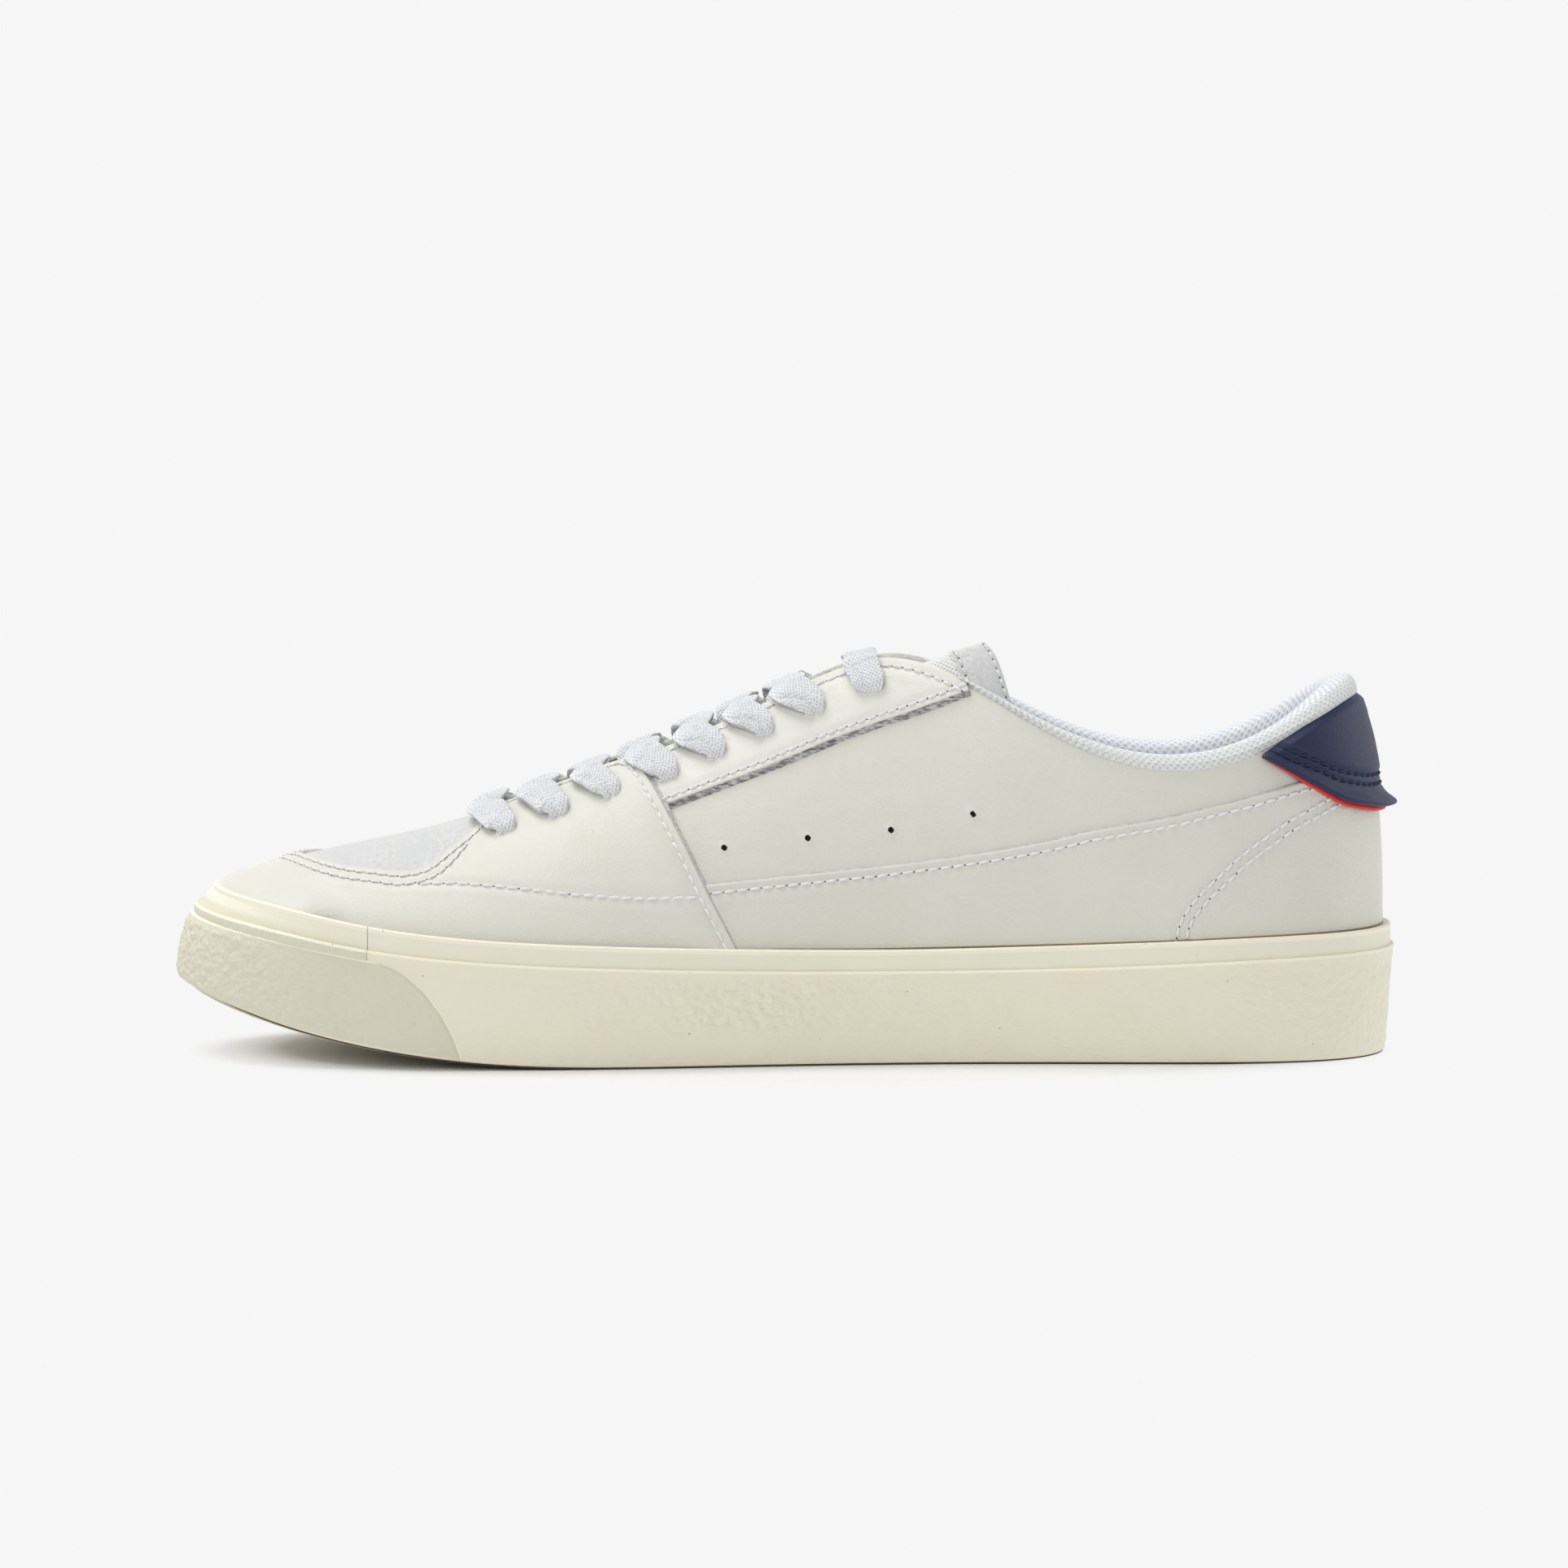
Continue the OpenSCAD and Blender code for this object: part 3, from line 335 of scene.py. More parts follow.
def base_point(k, v, side):
    k, v = np.broadcast_arrays(np.asarray(k, float), np.asarray(v, float))
    t = k if side == MEDIAL else LOOP_N - k
    foot = outline(t, FEATHER_INSET)
    out = outline(t, 0.0) - foot
    out /= np.linalg.norm(out, axis=-1, keepdims=True)
    crest = spline(CREST, k, (1, -1, 1))
    far = smooth_step(4.5, 7.5, k)
    y = crest[..., 1] if side == MEDIAL else crest[..., 1] * (1 - 2 * far)
    top = np.concatenate([sized(np.stack([crest[..., 0], y], -1)), crest[..., 2:]], -1)
    a = np.concatenate([foot, line_z(FEATHER_LINE, foot[..., 0])[..., None]], -1)
    q = spline(SECTION, k, (1, 1, 1, 1, 1))
    third = (top[..., 0] - a[..., 0]) / 3
    b = a + np.stack([third + out[..., 0] * q[..., 1], out[..., 1] * q[..., 1], q[..., 0]], -1)
    c = top + np.stack([q[..., 3] - third, side * q[..., 2], -q[..., 4]], -1)
    w = v[..., None]
    return (1 - w) ** 3 * a + 3 * (1 - w) ** 2 * w * b + 3 * (1 - w) * w * w * c + w**3 * top


NUDGE = 0.004


def steps(k, v, side):
    """The surface's two directions, per station and per height share."""
    k, v = np.broadcast_arrays(np.asarray(k, float), np.asarray(v, float))
    k0, k1 = np.maximum(k - NUDGE, 0.02), np.minimum(np.maximum(k + NUDGE, 0.04), HEEL_K)
    v0, v1 = np.maximum(v - NUDGE, 0), np.minimum(v + NUDGE, 1)
    du = (base_point(k1, v, side) - base_point(k0, v, side)) / (k1 - k0)[..., None]
    dv = (base_point(k, v1, side) - base_point(k, v0, side)) / (v1 - v0)[..., None]
    return du, dv


def base_normal(k, v, side):
    du, dv = steps(k, v, side)
    n = np.cross(dv, du) * side
    return n / np.linalg.norm(n, axis=-1, keepdims=True)


def skin(k, v, side, off):
    return base_point(k, v, side) + np.asarray(off, float)[..., None] * base_normal(k, v, side)


def through(points, s):
    """A smooth curve through evenly numbered points, s from 0 to 1."""
    p = np.array(points, float)
    t = np.clip(np.asarray(s, float), 0, 1) * (len(p) - 1)
    i = np.minimum(np.floor(t).astype(int), len(p) - 2)
    f = (t - i).reshape(t.shape + (1,) * (p.ndim - 1))
    q = np.concatenate([2 * p[:1] - p[1:2], p, 2 * p[-1:] - p[-2:-1]])
    a, b, c, d = q[i], q[i + 1], q[i + 2], q[i + 3]
    return 0.5 * (2 * b + (c - a) * f + (2 * a - 5 * b + 4 * c - d) * f**2 + (3 * b - a - 3 * c + d) * f**3)


def blend_to(a, b, t):
    return a + (b - a) * t


def run_of(points):
    """Distance travelled down each row of a grid, or along one path."""
    gaps = np.linalg.norm(np.diff(points, axis=0), axis=-1)
    return np.concatenate([np.zeros((1,) + points.shape[1:-1]), np.cumsum(gaps, 0)])


def even(points, step, side=MEDIAL):
    """A [station, height] curve resampled at an even real distance."""
    s = np.linspace(0, 1, 40 * len(points))
    kv = through(points, s)
    run = run_of(base_point(kv[:, 0], kv[:, 1], side))
    at = np.linspace(0, run[-1], max(2, int(round(run[-1] / step)) + 1))
    return np.stack([np.interp(at, run, kv[:, 0]), np.interp(at, run, kv[:, 1])], -1)


def shifted(kv, side, gap_mm):
    """The curve moved sideways on the surface; a plus gap is to the left of travel on the medial side."""
    du, dv = steps(kv[:, 0], kv[:, 1], side)
    slope = np.gradient(kv, axis=0)
    along = du * slope[:, :1] + dv * slope[:, 1:]
    n = base_normal(kv[:, 0], kv[:, 1], side)
    across = np.cross(n, along) * -side
    across /= np.linalg.norm(across, axis=1, keepdims=True)
    moved = []
    for i in range(len(kv)):
        grid = np.stack([du[i], dv[i]], 1)
        moved.append(kv[i] + gap_mm * np.linalg.lstsq(grid, across[i], rcond=None)[0])
    return np.array(moved)


# ---- meshes ----
def new_mesh(name, points, faces, mats, face_mats=None, body="shoe", uvs=None):
    """points in millimetres; uvs is one pair per vertex."""
    data = bpy.data.meshes.new(name)
    data.from_pydata((np.asarray(points) * MM).tolist(), [], [list(map(int, f)) for f in faces])
    for m in mats:
        data.materials.append(m)
    if face_mats is not None:
        data.polygons.foreach_set("material_index", np.asarray(face_mats, np.int32))
    data.polygons.foreach_set("use_smooth", np.ones(len(data.polygons), bool))
    if uvs is not None:
        loops = np.zeros(len(data.loops), np.int32)
        data.loops.foreach_get("vertex_index", loops)
        layer = data.uv_layers.new(name="UVMap")
        layer.data.foreach_set("uv", np.asarray(uvs, np.float32)[loops].ravel())
    data.update()
    obj = bpy.data.objects.new(name, data)
    bpy.context.scene.collection.objects.link(obj)
    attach(obj, body)
    return obj


def outward(points, faces):
    """Faces turned so that the closed mesh encloses a plus volume."""
    p = np.asarray(points)
    volume = 0.0
    for f in faces[:: max(1, len(faces) // 4000)]:
        a, b, c = p[f[0]], p[f[1]], p[f[2]]
        volume += a @ np.cross(b, c)
        if len(f) == 4:
            volume += a @ np.cross(c, p[f[3]])
    return faces if volume > 0 else [tuple(reversed(f)) for f in faces]


def grid_faces(rows, cols, start=0, loop_rows=False, loop_cols=False):
    """Faces between the points of a grid whose first point has the number start."""
    made = []
    for i in range(rows if loop_rows else rows - 1):
        for j in range(cols if loop_cols else cols - 1):
            a, b = i, (i + 1) % rows
            c, d = j, (j + 1) % cols
            made.append(
                (start + a * cols + c, start + b * cols + c, start + b * cols + d, start + a * cols + d)
            )
    return made


def tube_faces(rows, cols):
    """Faces of a tube of rings with both ends closed."""
    ends = [tuple(range(cols)), tuple(reversed(range((rows - 1) * cols, rows * cols)))]
    return grid_faces(rows, cols, 0, False, True) + ends


def joined(halves):
    """One grid out of a medial half and, turned round at its last row, a lateral one."""
    return halves[0] if len(halves) == 1 else np.concatenate([halves[0], halves[1][-2::-1]])


def grid_uv(grid):
    """UV in millimetres along and across a grid."""
    return np.stack([run_of(grid), run_of(np.moveaxis(grid, 1, 0)).T], -1)


def pair(stem):
    return (MEDIAL, stem + "_medial"), (LATERAL, stem + "_lateral")


def closed_sheet(name, outer, inner, mats, body="shoe", uvs=None):
    """A shell between two grids (rows, cols, 3); its cut edge takes the second material."""
    rows, cols = outer.shape[:2]
    count = rows * cols
    points = np.vstack([outer.reshape(-1, 3), inner.reshape(-1, 3)])
    top = grid_faces(rows, cols)
    under = [tuple(reversed(f)) for f in grid_faces(rows, cols, count)]
    border = [i * cols for i in range(rows)]
    border += [(rows - 1) * cols + j for j in range(1, cols)]
    border += [i * cols + cols - 1 for i in range(rows - 2, -1, -1)]
    border += list(range(cols - 2, 0, -1))
    rims = [(b, a, a + count, b + count) for a, b in zip(border, border[1:] + border[:1])]
    faces = outward(points, top + under + rims)
    kinds = [0] * (len(top) + len(under)) + [1 if len(mats) > 1 else 0] * len(rims)
    if uvs is not None:
        uvs = np.vstack([uvs.reshape(-1, 2)] * 2)
    return new_mesh(name, points, faces, mats, kinds, body, uvs)


# ---- stitch lines, known before the panels so that the leather can sink under them ----
SEAM = [(6.44, 0.138), (6.22, 0.27), (6.04, 0.4), (5.88, 0.53), (5.75, 0.655), (5.63, 0.775), (5.52, 0.835)]
SUEDE_SEAM = [
    (4.2, 0.85), (4.15, 0.74), (4.04, 0.647), (3.88, 0.557), (3.72, 0.512), (3.45, 0.505), (3.15, 0.547),
    (2.8, 0.6), (2.45, 0.69), (2.12, 0.83), (1.84, 1.0),
]
EYESTAY_EDGE = [
    (5.83, 0.566), (6.3, 0.59), (6.83, 0.615), (7.35, 0.645), (7.85, 0.68), (8.3, 0.74), (8.7, 0.835),
    (9.06, 0.955),
]
THROAT_EDGE = [
    (5.5, 0.835), (6.0, 0.838), (6.5, 0.862), (7.05, 0.89), (7.56, 0.922), (7.95, 0.955), (8.3, 0.985),
    (8.7, 0.995),
    (9.06, 0.985),
]
FRONT_THROAT = [(4.2, 0.925), (4.6, 0.91), (5.1, 0.868), (5.5, 0.838)]
LOWER_EDGE = [
    (6.12, 0.302), (6.7, 0.303), (7.3, 0.306), (7.9, 0.316), (8.5, 0.347), (9.05, 0.402), (9.55, 0.487),
    (10.05, 0.61), (10.5, 0.712), (11.0, 0.79), (11.5, 0.825), (12.2, 0.815), (12.9, 0.76), (13.5, 0.715),
    (14, 0.7),
]
HEEL_ARC = [
    (10.44, 0.17), (10.62, 0.29), (10.9, 0.41), (11.15, 0.495), (11.45, 0.585), (11.8, 0.65), (12.2, 0.69),
    (12.9, 0.7),
]
DECOR_ARC = [
    (3.62, 0.487), (3.95, 0.458), (4.3, 0.413), (4.7, 0.362), (5.1, 0.32), (5.6, 0.286), (6.12, 0.268),
]
TAB_EDGE = [
    (11.99, 0.95), (12.24, 0.865), (12.5, 0.772), (12.85, 0.665), (13.3, 0.605), (13.65, 0.586), (14, 0.58),
]


def edge_inside(seam, gap_mm):
    """The suede's visible edge lies inside its outer stitch row, and meets it at the throat."""
    kv = even(seam, 4.0)
    share = np.linspace(0, 1, len(kv))
    full = shifted(kv, MEDIAL, gap_mm)
    moved = kv + (full - kv) * smooth_step(0, 0.3, share)[:, None]
    moved[:, 1] = np.minimum(moved[:, 1], 1.0)
    moved[-1, 1] = 1.0
    return [tuple(q) for q in moved]


SUEDE_EDGE = edge_inside(SUEDE_SEAM, -3.7)


def front_lift(k, v):
    """The front panel climbs over the pieces behind its seam."""
    seam = through(SEAM, np.linspace(0, 1, 60))
    at = np.interp(v, seam[:, 1], seam[:, 0])
    return 1.0 * smooth_step(-0.6, -0.12, np.asarray(k) - at)


def front_top(k, v):
    return OVERLAY_HI + front_lift(k, v)


# Panel, curve, sideways shift in mm, height over the base surface, pitch
ROWS = [
    ("front", SEAM, 2.1, 5.0, 3.0),
    ("front", SUEDE_EDGE, 1.5, 4.0, 2.9),
    ("front", SUEDE_SEAM[2:], 0.35, 4.0, 2.9),
    ("front", DECOR_ARC, 0.0, 4.0, 3.1),
    ("front", FRONT_THROAT, -1.6, 4.0, 2.9),
    ("eyestay", EYESTAY_EDGE, 1.5, 4.0, 2.6),
    ("eyestay", THROAT_EDGE, -2.0, 4.0, 2.8),
    ("heel", LOWER_EDGE[:-2], -2.1, 3.7, 3.1),
    ("heel", HEEL_ARC, 0.0, 3.7, 2.9),
    ("heel", HEEL_ARC, -2.3, 3.7, 2.9),
]


def row_paths():
    """Every row on both sides of the shoe."""
    made = []
    for name, curve, gap, off, pitch in ROWS:
        for side in (MEDIAL, LATERAL):
            kv = even(curve, 0.6, side)
            if gap:
                kv = shifted(kv, side, gap)
            kv[:, 1] = np.clip(kv[:, 1], 0.02, 1)
            kv[:, 0] = np.clip(kv[:, 0], 0.5, HEEL_K)
            made.append((name, kv, side, off, pitch))
    return made


PATHS = row_paths()
TREES = {}
for group in ("front", "eyestay", "heel"):
    spots = np.vstack([base_point(kv[:, 0], kv[:, 1], side) for n, kv, side, _, _ in PATHS if n == group])
    tree = kdtree.KDTree(len(spots))
    for index, spot in enumerate(spots):
        tree.insert(spot, index)
    tree.balance()
    TREES[group] = tree


def relief(points, group, sink=0.26, reach=0.9, wave=0.08):
    """Height change in mm of soft leather: it sinks along its stitches and is never quite even."""
    flat = points.reshape(-1, 3)
    made = np.zeros(len(flat))
    tree = TREES.get(group)
    for i, p in enumerate(flat):
        h = wave * noise.noise((p[0] * 0.045, p[1] * 0.045 + 7, p[2] * 0.06))
        h += wave * 0.35 * noise.noise((p[0] * 0.17, p[1] * 0.17, p[2] * 0.2))
        if tree is not None:
            d = tree.find(p)[2] / reach
            if d < 4:
                h -= sink * math.exp(-d * d)
                h += sink * 0.35 * math.exp(-((d - 2.6) ** 2))
        made[i] = h
    return made.reshape(points.shape[:-1])


def spaced(length, step):
    """Shares from 0 to 1 with close rows by the edges for the rounding."""
    edge = 0.28
    near = [0, edge * 0.35 / length, edge * 1.1 / length, edge * 2.6 / length]
    count = max(4, int(length / step))
    middle = np.linspace(edge * 5 / length, 1 - edge * 5 / length, count)
    return np.concatenate([near, middle, [1 - x for x in reversed(near)]])


# How much lower the four outermost rows of a cut edge lie
ROUNDING = (0.42, 0.16, 0.03, 0.0)
PANEL_CREASE, RUBBER_CREASE = 48, 38
# The top of the tape's face: how far it lies inside the outline, and what the toe's lean adds
TAPE_INSET, TAPE_LEAN = 2.0, 8.1


def crisp(obj, angle):
    """Edges sharper than the angle are shaded sharp."""
    obj.data.set_sharp_from_angle(angle=math.radians(angle))


def behind_tape(points, depth):
    """Toe leather meets the top of the leaning tape: below it the leather runs down behind the tape's face,
    and just above it the leather is drawn forward to touch the tape."""
    made = points.copy()
    flat = made.reshape(-1, 3)
    above = flat[:, 2] - line_z(TAPE_LINE, flat[:, 0])
    low = np.nonzero((flat[:, 0] < MIDDLE_X - 60) & (above < 7))[0]
    ts = np.linspace(-7, 7, 900)
    lean = toe_lean(cad_x(outline(ts)[:, 0]))
    wall = outline(ts, TAPE_INSET + depth + TAPE_LEAN * lean)
    out = outward_at(ts)
    for i in low:
        near = np.argmin(((wall - flat[i, :2]) ** 2).sum(1))
        over = (flat[i, :2] - wall[near]) @ out[near]
        if over > 0:
            share = 1 - smooth_step(0.0, 1.5, above[i])
        else:
            share = (1 - smooth_step(-0.5, 6.5, above[i])) * smooth_step(0.0, 0.25, lean[near])
        flat[i, :2] -= out[near] * over * share
    return made


def patch(lower, upper, start, end, us, vs):
    """A [station, height] grid between four curves."""
    u, v = np.meshgrid(us, vs, indexing="ij")
    low, high = through(lower, u), through(upper, u)
    near, far = through(start, v), through(end, v)
    u, v = u[..., None], v[..., None]
    corners = (1 - u) * (1 - v) * low[0, 0] + u * (1 - v) * low[-1, 0]
    corners = corners + (1 - u) * v * high[0, 0] + u * v * high[-1, 0]
    return (1 - v) * low + v * high + (1 - u) * near + u * far - corners


def panel(name, kv, sides, hi, lo, mats, group=None, edges=(True, True, True, True), wave=0.08,
          skirts=(0, 0, 0, 0)):
    """A leather panel. kv runs [along, up]; edges says which of start, end, lower and upper are cut, and
    skirts how far the underside reaches past each. With two sides, the far one joins at the grid's end."""
    drop = np.zeros(kv.shape[:2])
    for i, cut in enumerate(ROUNDING):
        for edge, line in zip(edges, (np.s_[i], np.s_[-1 - i], np.s_[:, i], np.s_[:, -1 - i])):
            if edge:
                drop[line] = np.maximum(drop[line], cut)
    outer, inner = [], []
    for side in sides:
        k, v = np.clip(kv[..., 0], 0.02, HEEL_K), np.clip(kv[..., 1], 0, 1)
        p, n = base_point(k, v, side), base_normal(k, v, side)
        top = hi(k, v) if callable(hi) else np.full(k.shape, float(hi))
        under = lo(k, v) if callable(lo) else np.full(k.shape, float(lo))
        top = top - drop + relief(p, group, wave=wave)
        under = np.minimum(under, top - 0.3)
        outer.append(p + top[..., None] * n)
        below = p + under[..., None] * n
        for skirt, cut, within in zip(skirts, (np.s_[0], np.s_[-1], np.s_[:, 0], np.s_[:, -1]),
                                      (np.s_[5], np.s_[-6], np.s_[:, 5], np.s_[:, -6])):
            if skirt:
                d = below[cut] - below[within]
                below[cut] = below[cut] + skirt * d / np.linalg.norm(d, axis=-1, keepdims=True)
        inner.append(below)
    outer, inner = joined(outer), joined(inner)
    if name == "front_overlay":
        outer, inner = behind_tape(outer, 0.0), behind_tape(inner, 1.1)
    obj = closed_sheet(name, outer, inner, mats)
    crisp(obj, PANEL_CREASE)
    return obj


# ---- materials ----
def leather(name, colour, rough=0.42, grain=1.0, wrinkled=None):
    m = Mat(name, colour, rough, Specular_IOR_Level=0.4)
    at = m.coords()
    waves = m.add("TexNoise", Vector=at, Scale=0.6).outputs[1]
    bent = m.add("VectorMath", {"operation": "MULTIPLY_ADD"}, i0=waves,
                 i1=(0.9,) * 3, i2=at).outputs[0]
    cells = m.voronoi(bent, 1.25, "DISTANCE_TO_EDGE")
    pores = m.ramp(cells, 0.0, 0.16)
    fine = m.noise(at, 2.6, 3.0, 0.6)
    creases = m.noise(m.coords((0.16, 0.16, 0.75)), 1.0, 3.0, 0.62)
    where = m.ramp(m.noise(at, 0.035, 1.0), 0.42, 0.62)
    soft = m.noise(at, 0.09, 2.0)
    height = m.math("MULTIPLY_ADD", pores, 0.45, m.math("MULTIPLY", fine, 0.75))
    height = m.math("ADD", height, m.math("MULTIPLY", m.math("MULTIPLY", creases, where), 2.4))
    height = m.math("ADD", height, m.math("MULTIPLY", soft, 1.2))
    if wrinkled:
        away = m.add("VectorMath", {"operation": "DISTANCE"}, i0=at, i1=wrinkled).outputs["Value"]
        folds = m.noise(m.coords((0.35, 0.35, 1.0)), 0.75, 4.0, 0.68)
        height = m.math("ADD", height, m.math("MULTIPLY", folds, m.ramp(away, 10.0, 30.0, 7.0, 0.0)))
    m.bump(height, 0.075 * grain)
    dark = [c * 0.988 for c in colour[:2]] + [colour[2] * 0.98]
    m.colour(m.mix(m.ramp(m.noise(at, 0.06, 3.0), 0.35, 0.7), colour, dark))
    m.rough(m.ramp(fine, 0.3, 0.7, rough - 0.06, rough + 0.1))
    return m.m


def raw_edge(name, dark, light):
    m = Mat(name, light, 0.95)
    at = m.coords()
    fibre = m.noise(m.coords((0.5, 0.5, 1.7)), 1.0, 4.0, 0.65)
    m.colour(m.mix(m.ramp(fibre, 0.4, 0.6), dark, light))
    m.bump(m.math("ADD", fibre, m.noise(at, 6.0)), 0.3)
    return m.m


def suede():
    m = Mat(
        "suede_grey", (226, 227, 226), 0.97, Specular_IOR_Level=0.15, Sheen_Weight=0.25, Sheen_Roughness=0.6,
    )
    at = m.coords()
    nap = m.noise(at, 3.4, 4.0, 0.75)
    clumps = m.noise(at, 0.9, 3.0, 0.65)
    patches = m.noise(at, 0.1, 2.0)
    base = m.mix(m.ramp(clumps, 0.36, 0.64), (214, 214, 212), (232, 233, 232))
    base = m.mix(m.ramp(patches, 0.4, 0.65), base, (220, 221, 221))
    specks = m.ramp(m.voronoi(at, 0.42), 0.035, 0.06)
    m.colour(m.mix(specks, (186, 186, 186), base))
    m.bump(m.math("MULTIPLY_ADD", nap, 0.8, clumps), 0.22)
    return m.m


def rubber(name, colour, pebble, rough=0.5):
    m = Mat(name, colour, rough, Specular_IOR_Level=0.35)
    at = m.coords()
    lumps = m.voronoi(m.coords((0.62, 0.62, 1.0)), 1.15, "SMOOTH_F1")
    zones = m.ramp(m.noise(at, 0.035, 2.0), 0.36, 0.6, 0.25, 1.0)
    fine = m.noise(at, 2.2, 3.0, 0.6)
    waves = m.noise(m.coords((0.4, 0.4, 1.4)), 0.5, 2.0)
    height = m.math("MULTIPLY", m.math("MULTIPLY", lumps, zones), pebble)
    height = m.math("ADD", height, m.math("MULTIPLY", fine, 0.25))
    height = m.math("ADD", height, m.math("MULTIPLY", waves, 0.9))
    m.bump(height, 0.17)
    warm = [colour[0], colour[1] - 2, colour[2] - 2]
    tone = m.mix(m.ramp(m.noise(at, 0.055, 2.0), 0.38, 0.66), colour, warm)
    specks = m.ramp(m.voronoi(at, 0.16), 0.028, 0.042)
    marks = m.ramp(m.noise(m.coords((0.5, 0.5, 1.2)), 0.9, 5.0, 0.75), 0.72, 0.78)
    tone = m.mix(marks, tone, [c - 30 for c in colour])
    m.colour(m.mix(specks, [c - 62 for c in colour], tone))
    m.rough(m.ramp(fine, 0.3, 0.7, rough - 0.08, rough + 0.12))
    return m.m


def knit(name, thread, hollow_shade, pitch, depth, open_share):
    """Staggered loops of a warp knit, on the UV map in millimetres."""
    m = Mat(name, thread, 0.9, Specular_IOR_Level=0.2, Sheen_Weight=0.12)
    at = m.uv((1 / pitch, 1 / pitch, 1))
    sheared = m.add("Mapping", Vector=at, Rotation=(0, 0, 0.7854), Scale=(1.0, 1.0, 1)).outputs[0]
    cells = m.voronoi(sheared, 1.0, "F1", "2D", 0.12)
    hole = m.ramp(cells, open_share, open_share + 0.16)
    fluff = m.noise(m.coords(), 4.0, 3.0, 0.7)
    # The openings between the loops take the darker hollow colour: painted shade of the knit's recesses
    m.colour(m.mix(hole, hollow_shade, thread))
    ring = m.math("SINE", m.math("MULTIPLY", cells, 7.5))
    height = m.math("ADD", m.math("MULTIPLY", hole, 0.8), m.math("MULTIPLY", ring, 0.25))
    m.bump(m.math("MULTIPLY_ADD", fluff, 0.3, height), depth)
    return m.m


def cotton():
    m = Mat("lace_cotton", (247, 248, 251), 0.92, Specular_IOR_Level=0.2, Sheen_Weight=0.3)
    a = m.add("TexWave", {"bands_direction": "DIAGONAL"}, Vector=m.uv((1, 1, 1)), Scale=0.62, Distortion=1.2,
              Detail=1.0).outputs["Fac"]
    b = m.add("TexWave", {"bands_direction": "DIAGONAL"}, Vector=m.uv((1, -1, 1)), Scale=0.62, Distortion=1.2,
              Detail=1.0).outputs["Fac"]
    fluff = m.noise(m.coords(), 3.5, 4.0, 0.7)
    weave = m.math("MAXIMUM", a, b)
    # The braid's valleys are painted a darker blue-grey as their shade
    m.colour(m.mix(m.ramp(weave, 0.1, 0.7), (224, 228, 238), (252, 253, 254)))
    m.bump(m.math("MULTIPLY_ADD", fluff, 0.7, weave), 0.3)
    return m.m


def thread(name, colour):
    m = Mat(name, colour, 0.7, Specular_IOR_Level=0.3)
    ply = m.add("TexWave", {"bands_direction": "DIAGONAL"}, Vector=m.uv((1, 1, 1)), Scale=0.9).outputs["Fac"]
    # The grooves between the plies are painted darker as their shade
    m.colour(m.mix(ply, [c * 0.93 for c in colour], colour))
    m.bump(ply, 0.09)
    return m.m


def plain(name, colour, rough, grain=0.1, scale=1.5):
    m = Mat(name, colour, rough)
    speckle = m.noise(m.coords(), scale, 3.0, 0.6)
    m.colour(m.mix(m.ramp(speckle, 0.35, 0.65), [c * 0.92 for c in colour], colour))
    m.bump(speckle, grain)
    return m.m


WHITE = leather("leather_white", (226, 225, 215))
# A lighter copy of the white leather for the eyestay: painted light
WHITE_STAY_LIT = leather("leather_white_stay_lit", (233, 232, 224))
WHITE_HEEL = leather("leather_white_heel", (226, 225, 215), 0.36, wrinkled=(138, 0, 58))
EDGE = raw_edge("leather_raw_edge", (204, 204, 201), (234, 233, 227))
# A darker copy of the raw edge for the eyestay's lower edge: partly the raw edge's grey, partly painted shade
# under the eyestay
EDGE_DARK_SHADED = raw_edge("eyestay_raw_edge_shaded", (118, 119, 122), (220, 220, 216))
NAVY = leather("leather_navy", (35, 43, 77), 0.52, 0.55)
RED = leather("leather_red", (228, 48, 42), 0.5, 0.6)
# A lighter navy for the heel tab's cut edges: partly wear, partly a painted highlight where the lip catches
# the light
NAVY_EDGE_HIGHLIGHT = plain("navy_edge_highlight", (56, 66, 98), 0.6)
SUEDE = suede()
WALL = rubber("rubber_wall", (240, 236, 215), 1.3)
BUMPER = rubber("rubber_bumper", (221, 218, 198), 1.9)
TAPE = rubber("rubber_tape", (241, 238, 219), 0.12, 0.45)
# A lighter rubber for the top edges of the wall, tape, strip and bumper: a painted highlight on their
# chamfers
RUBBER_RIM_HIGHLIGHT = rubber("rubber_rim_highlight", (250, 246, 226), 0.1, 0.4)
SOLE = rubber("rubber_sole", (214, 208, 184), 0.5)
# Dark brown for the thin strip at the sole's bottom edge: a painted contact shadow
SOLE_CONTACT_SHADE = plain("sole_contact_shade", (84, 66, 50), 0.8)
# Light brown for the crease between the leather and the tape: partly glue, partly painted shade
GLUE_AND_SHADE = plain("glue_and_shade_line", (158, 140, 112), 0.8, 0.2)
ROLL = knit("knit_roll", (236, 238, 237), (212, 216, 215), 1.25, 0.22, 0.2)
MESH = knit("knit_mesh", (242, 244, 247), (206, 210, 220), 1.55, 0.18, 0.26)
TEXTILE = knit("lining_textile", (244, 245, 246), (220, 222, 226), 1.3, 0.2, 0.22)
COTTON = cotton()
THREAD = thread("thread_white", (253, 253, 253))
THREAD_NAVY = thread("thread_navy", (45, 54, 88))
# Dark grey-brown for the needle holes: painted shade inside them
NEEDLE_HOLE_SHADE = plain("needle_hole_shade", (98, 92, 86), 0.9, 0.02)
# Dark brown for the walls deep in the punched holes: painted shade
PUNCH_HOLE_SHADE = plain("punched_hole_shade", (58, 44, 40), 0.9, 0.02)
TIP = plain("clear_tip", (236, 236, 236), 0.25, 0.02)
LABEL = plain("woven_label", (244, 244, 246), 0.85, 0.12, 2.5)

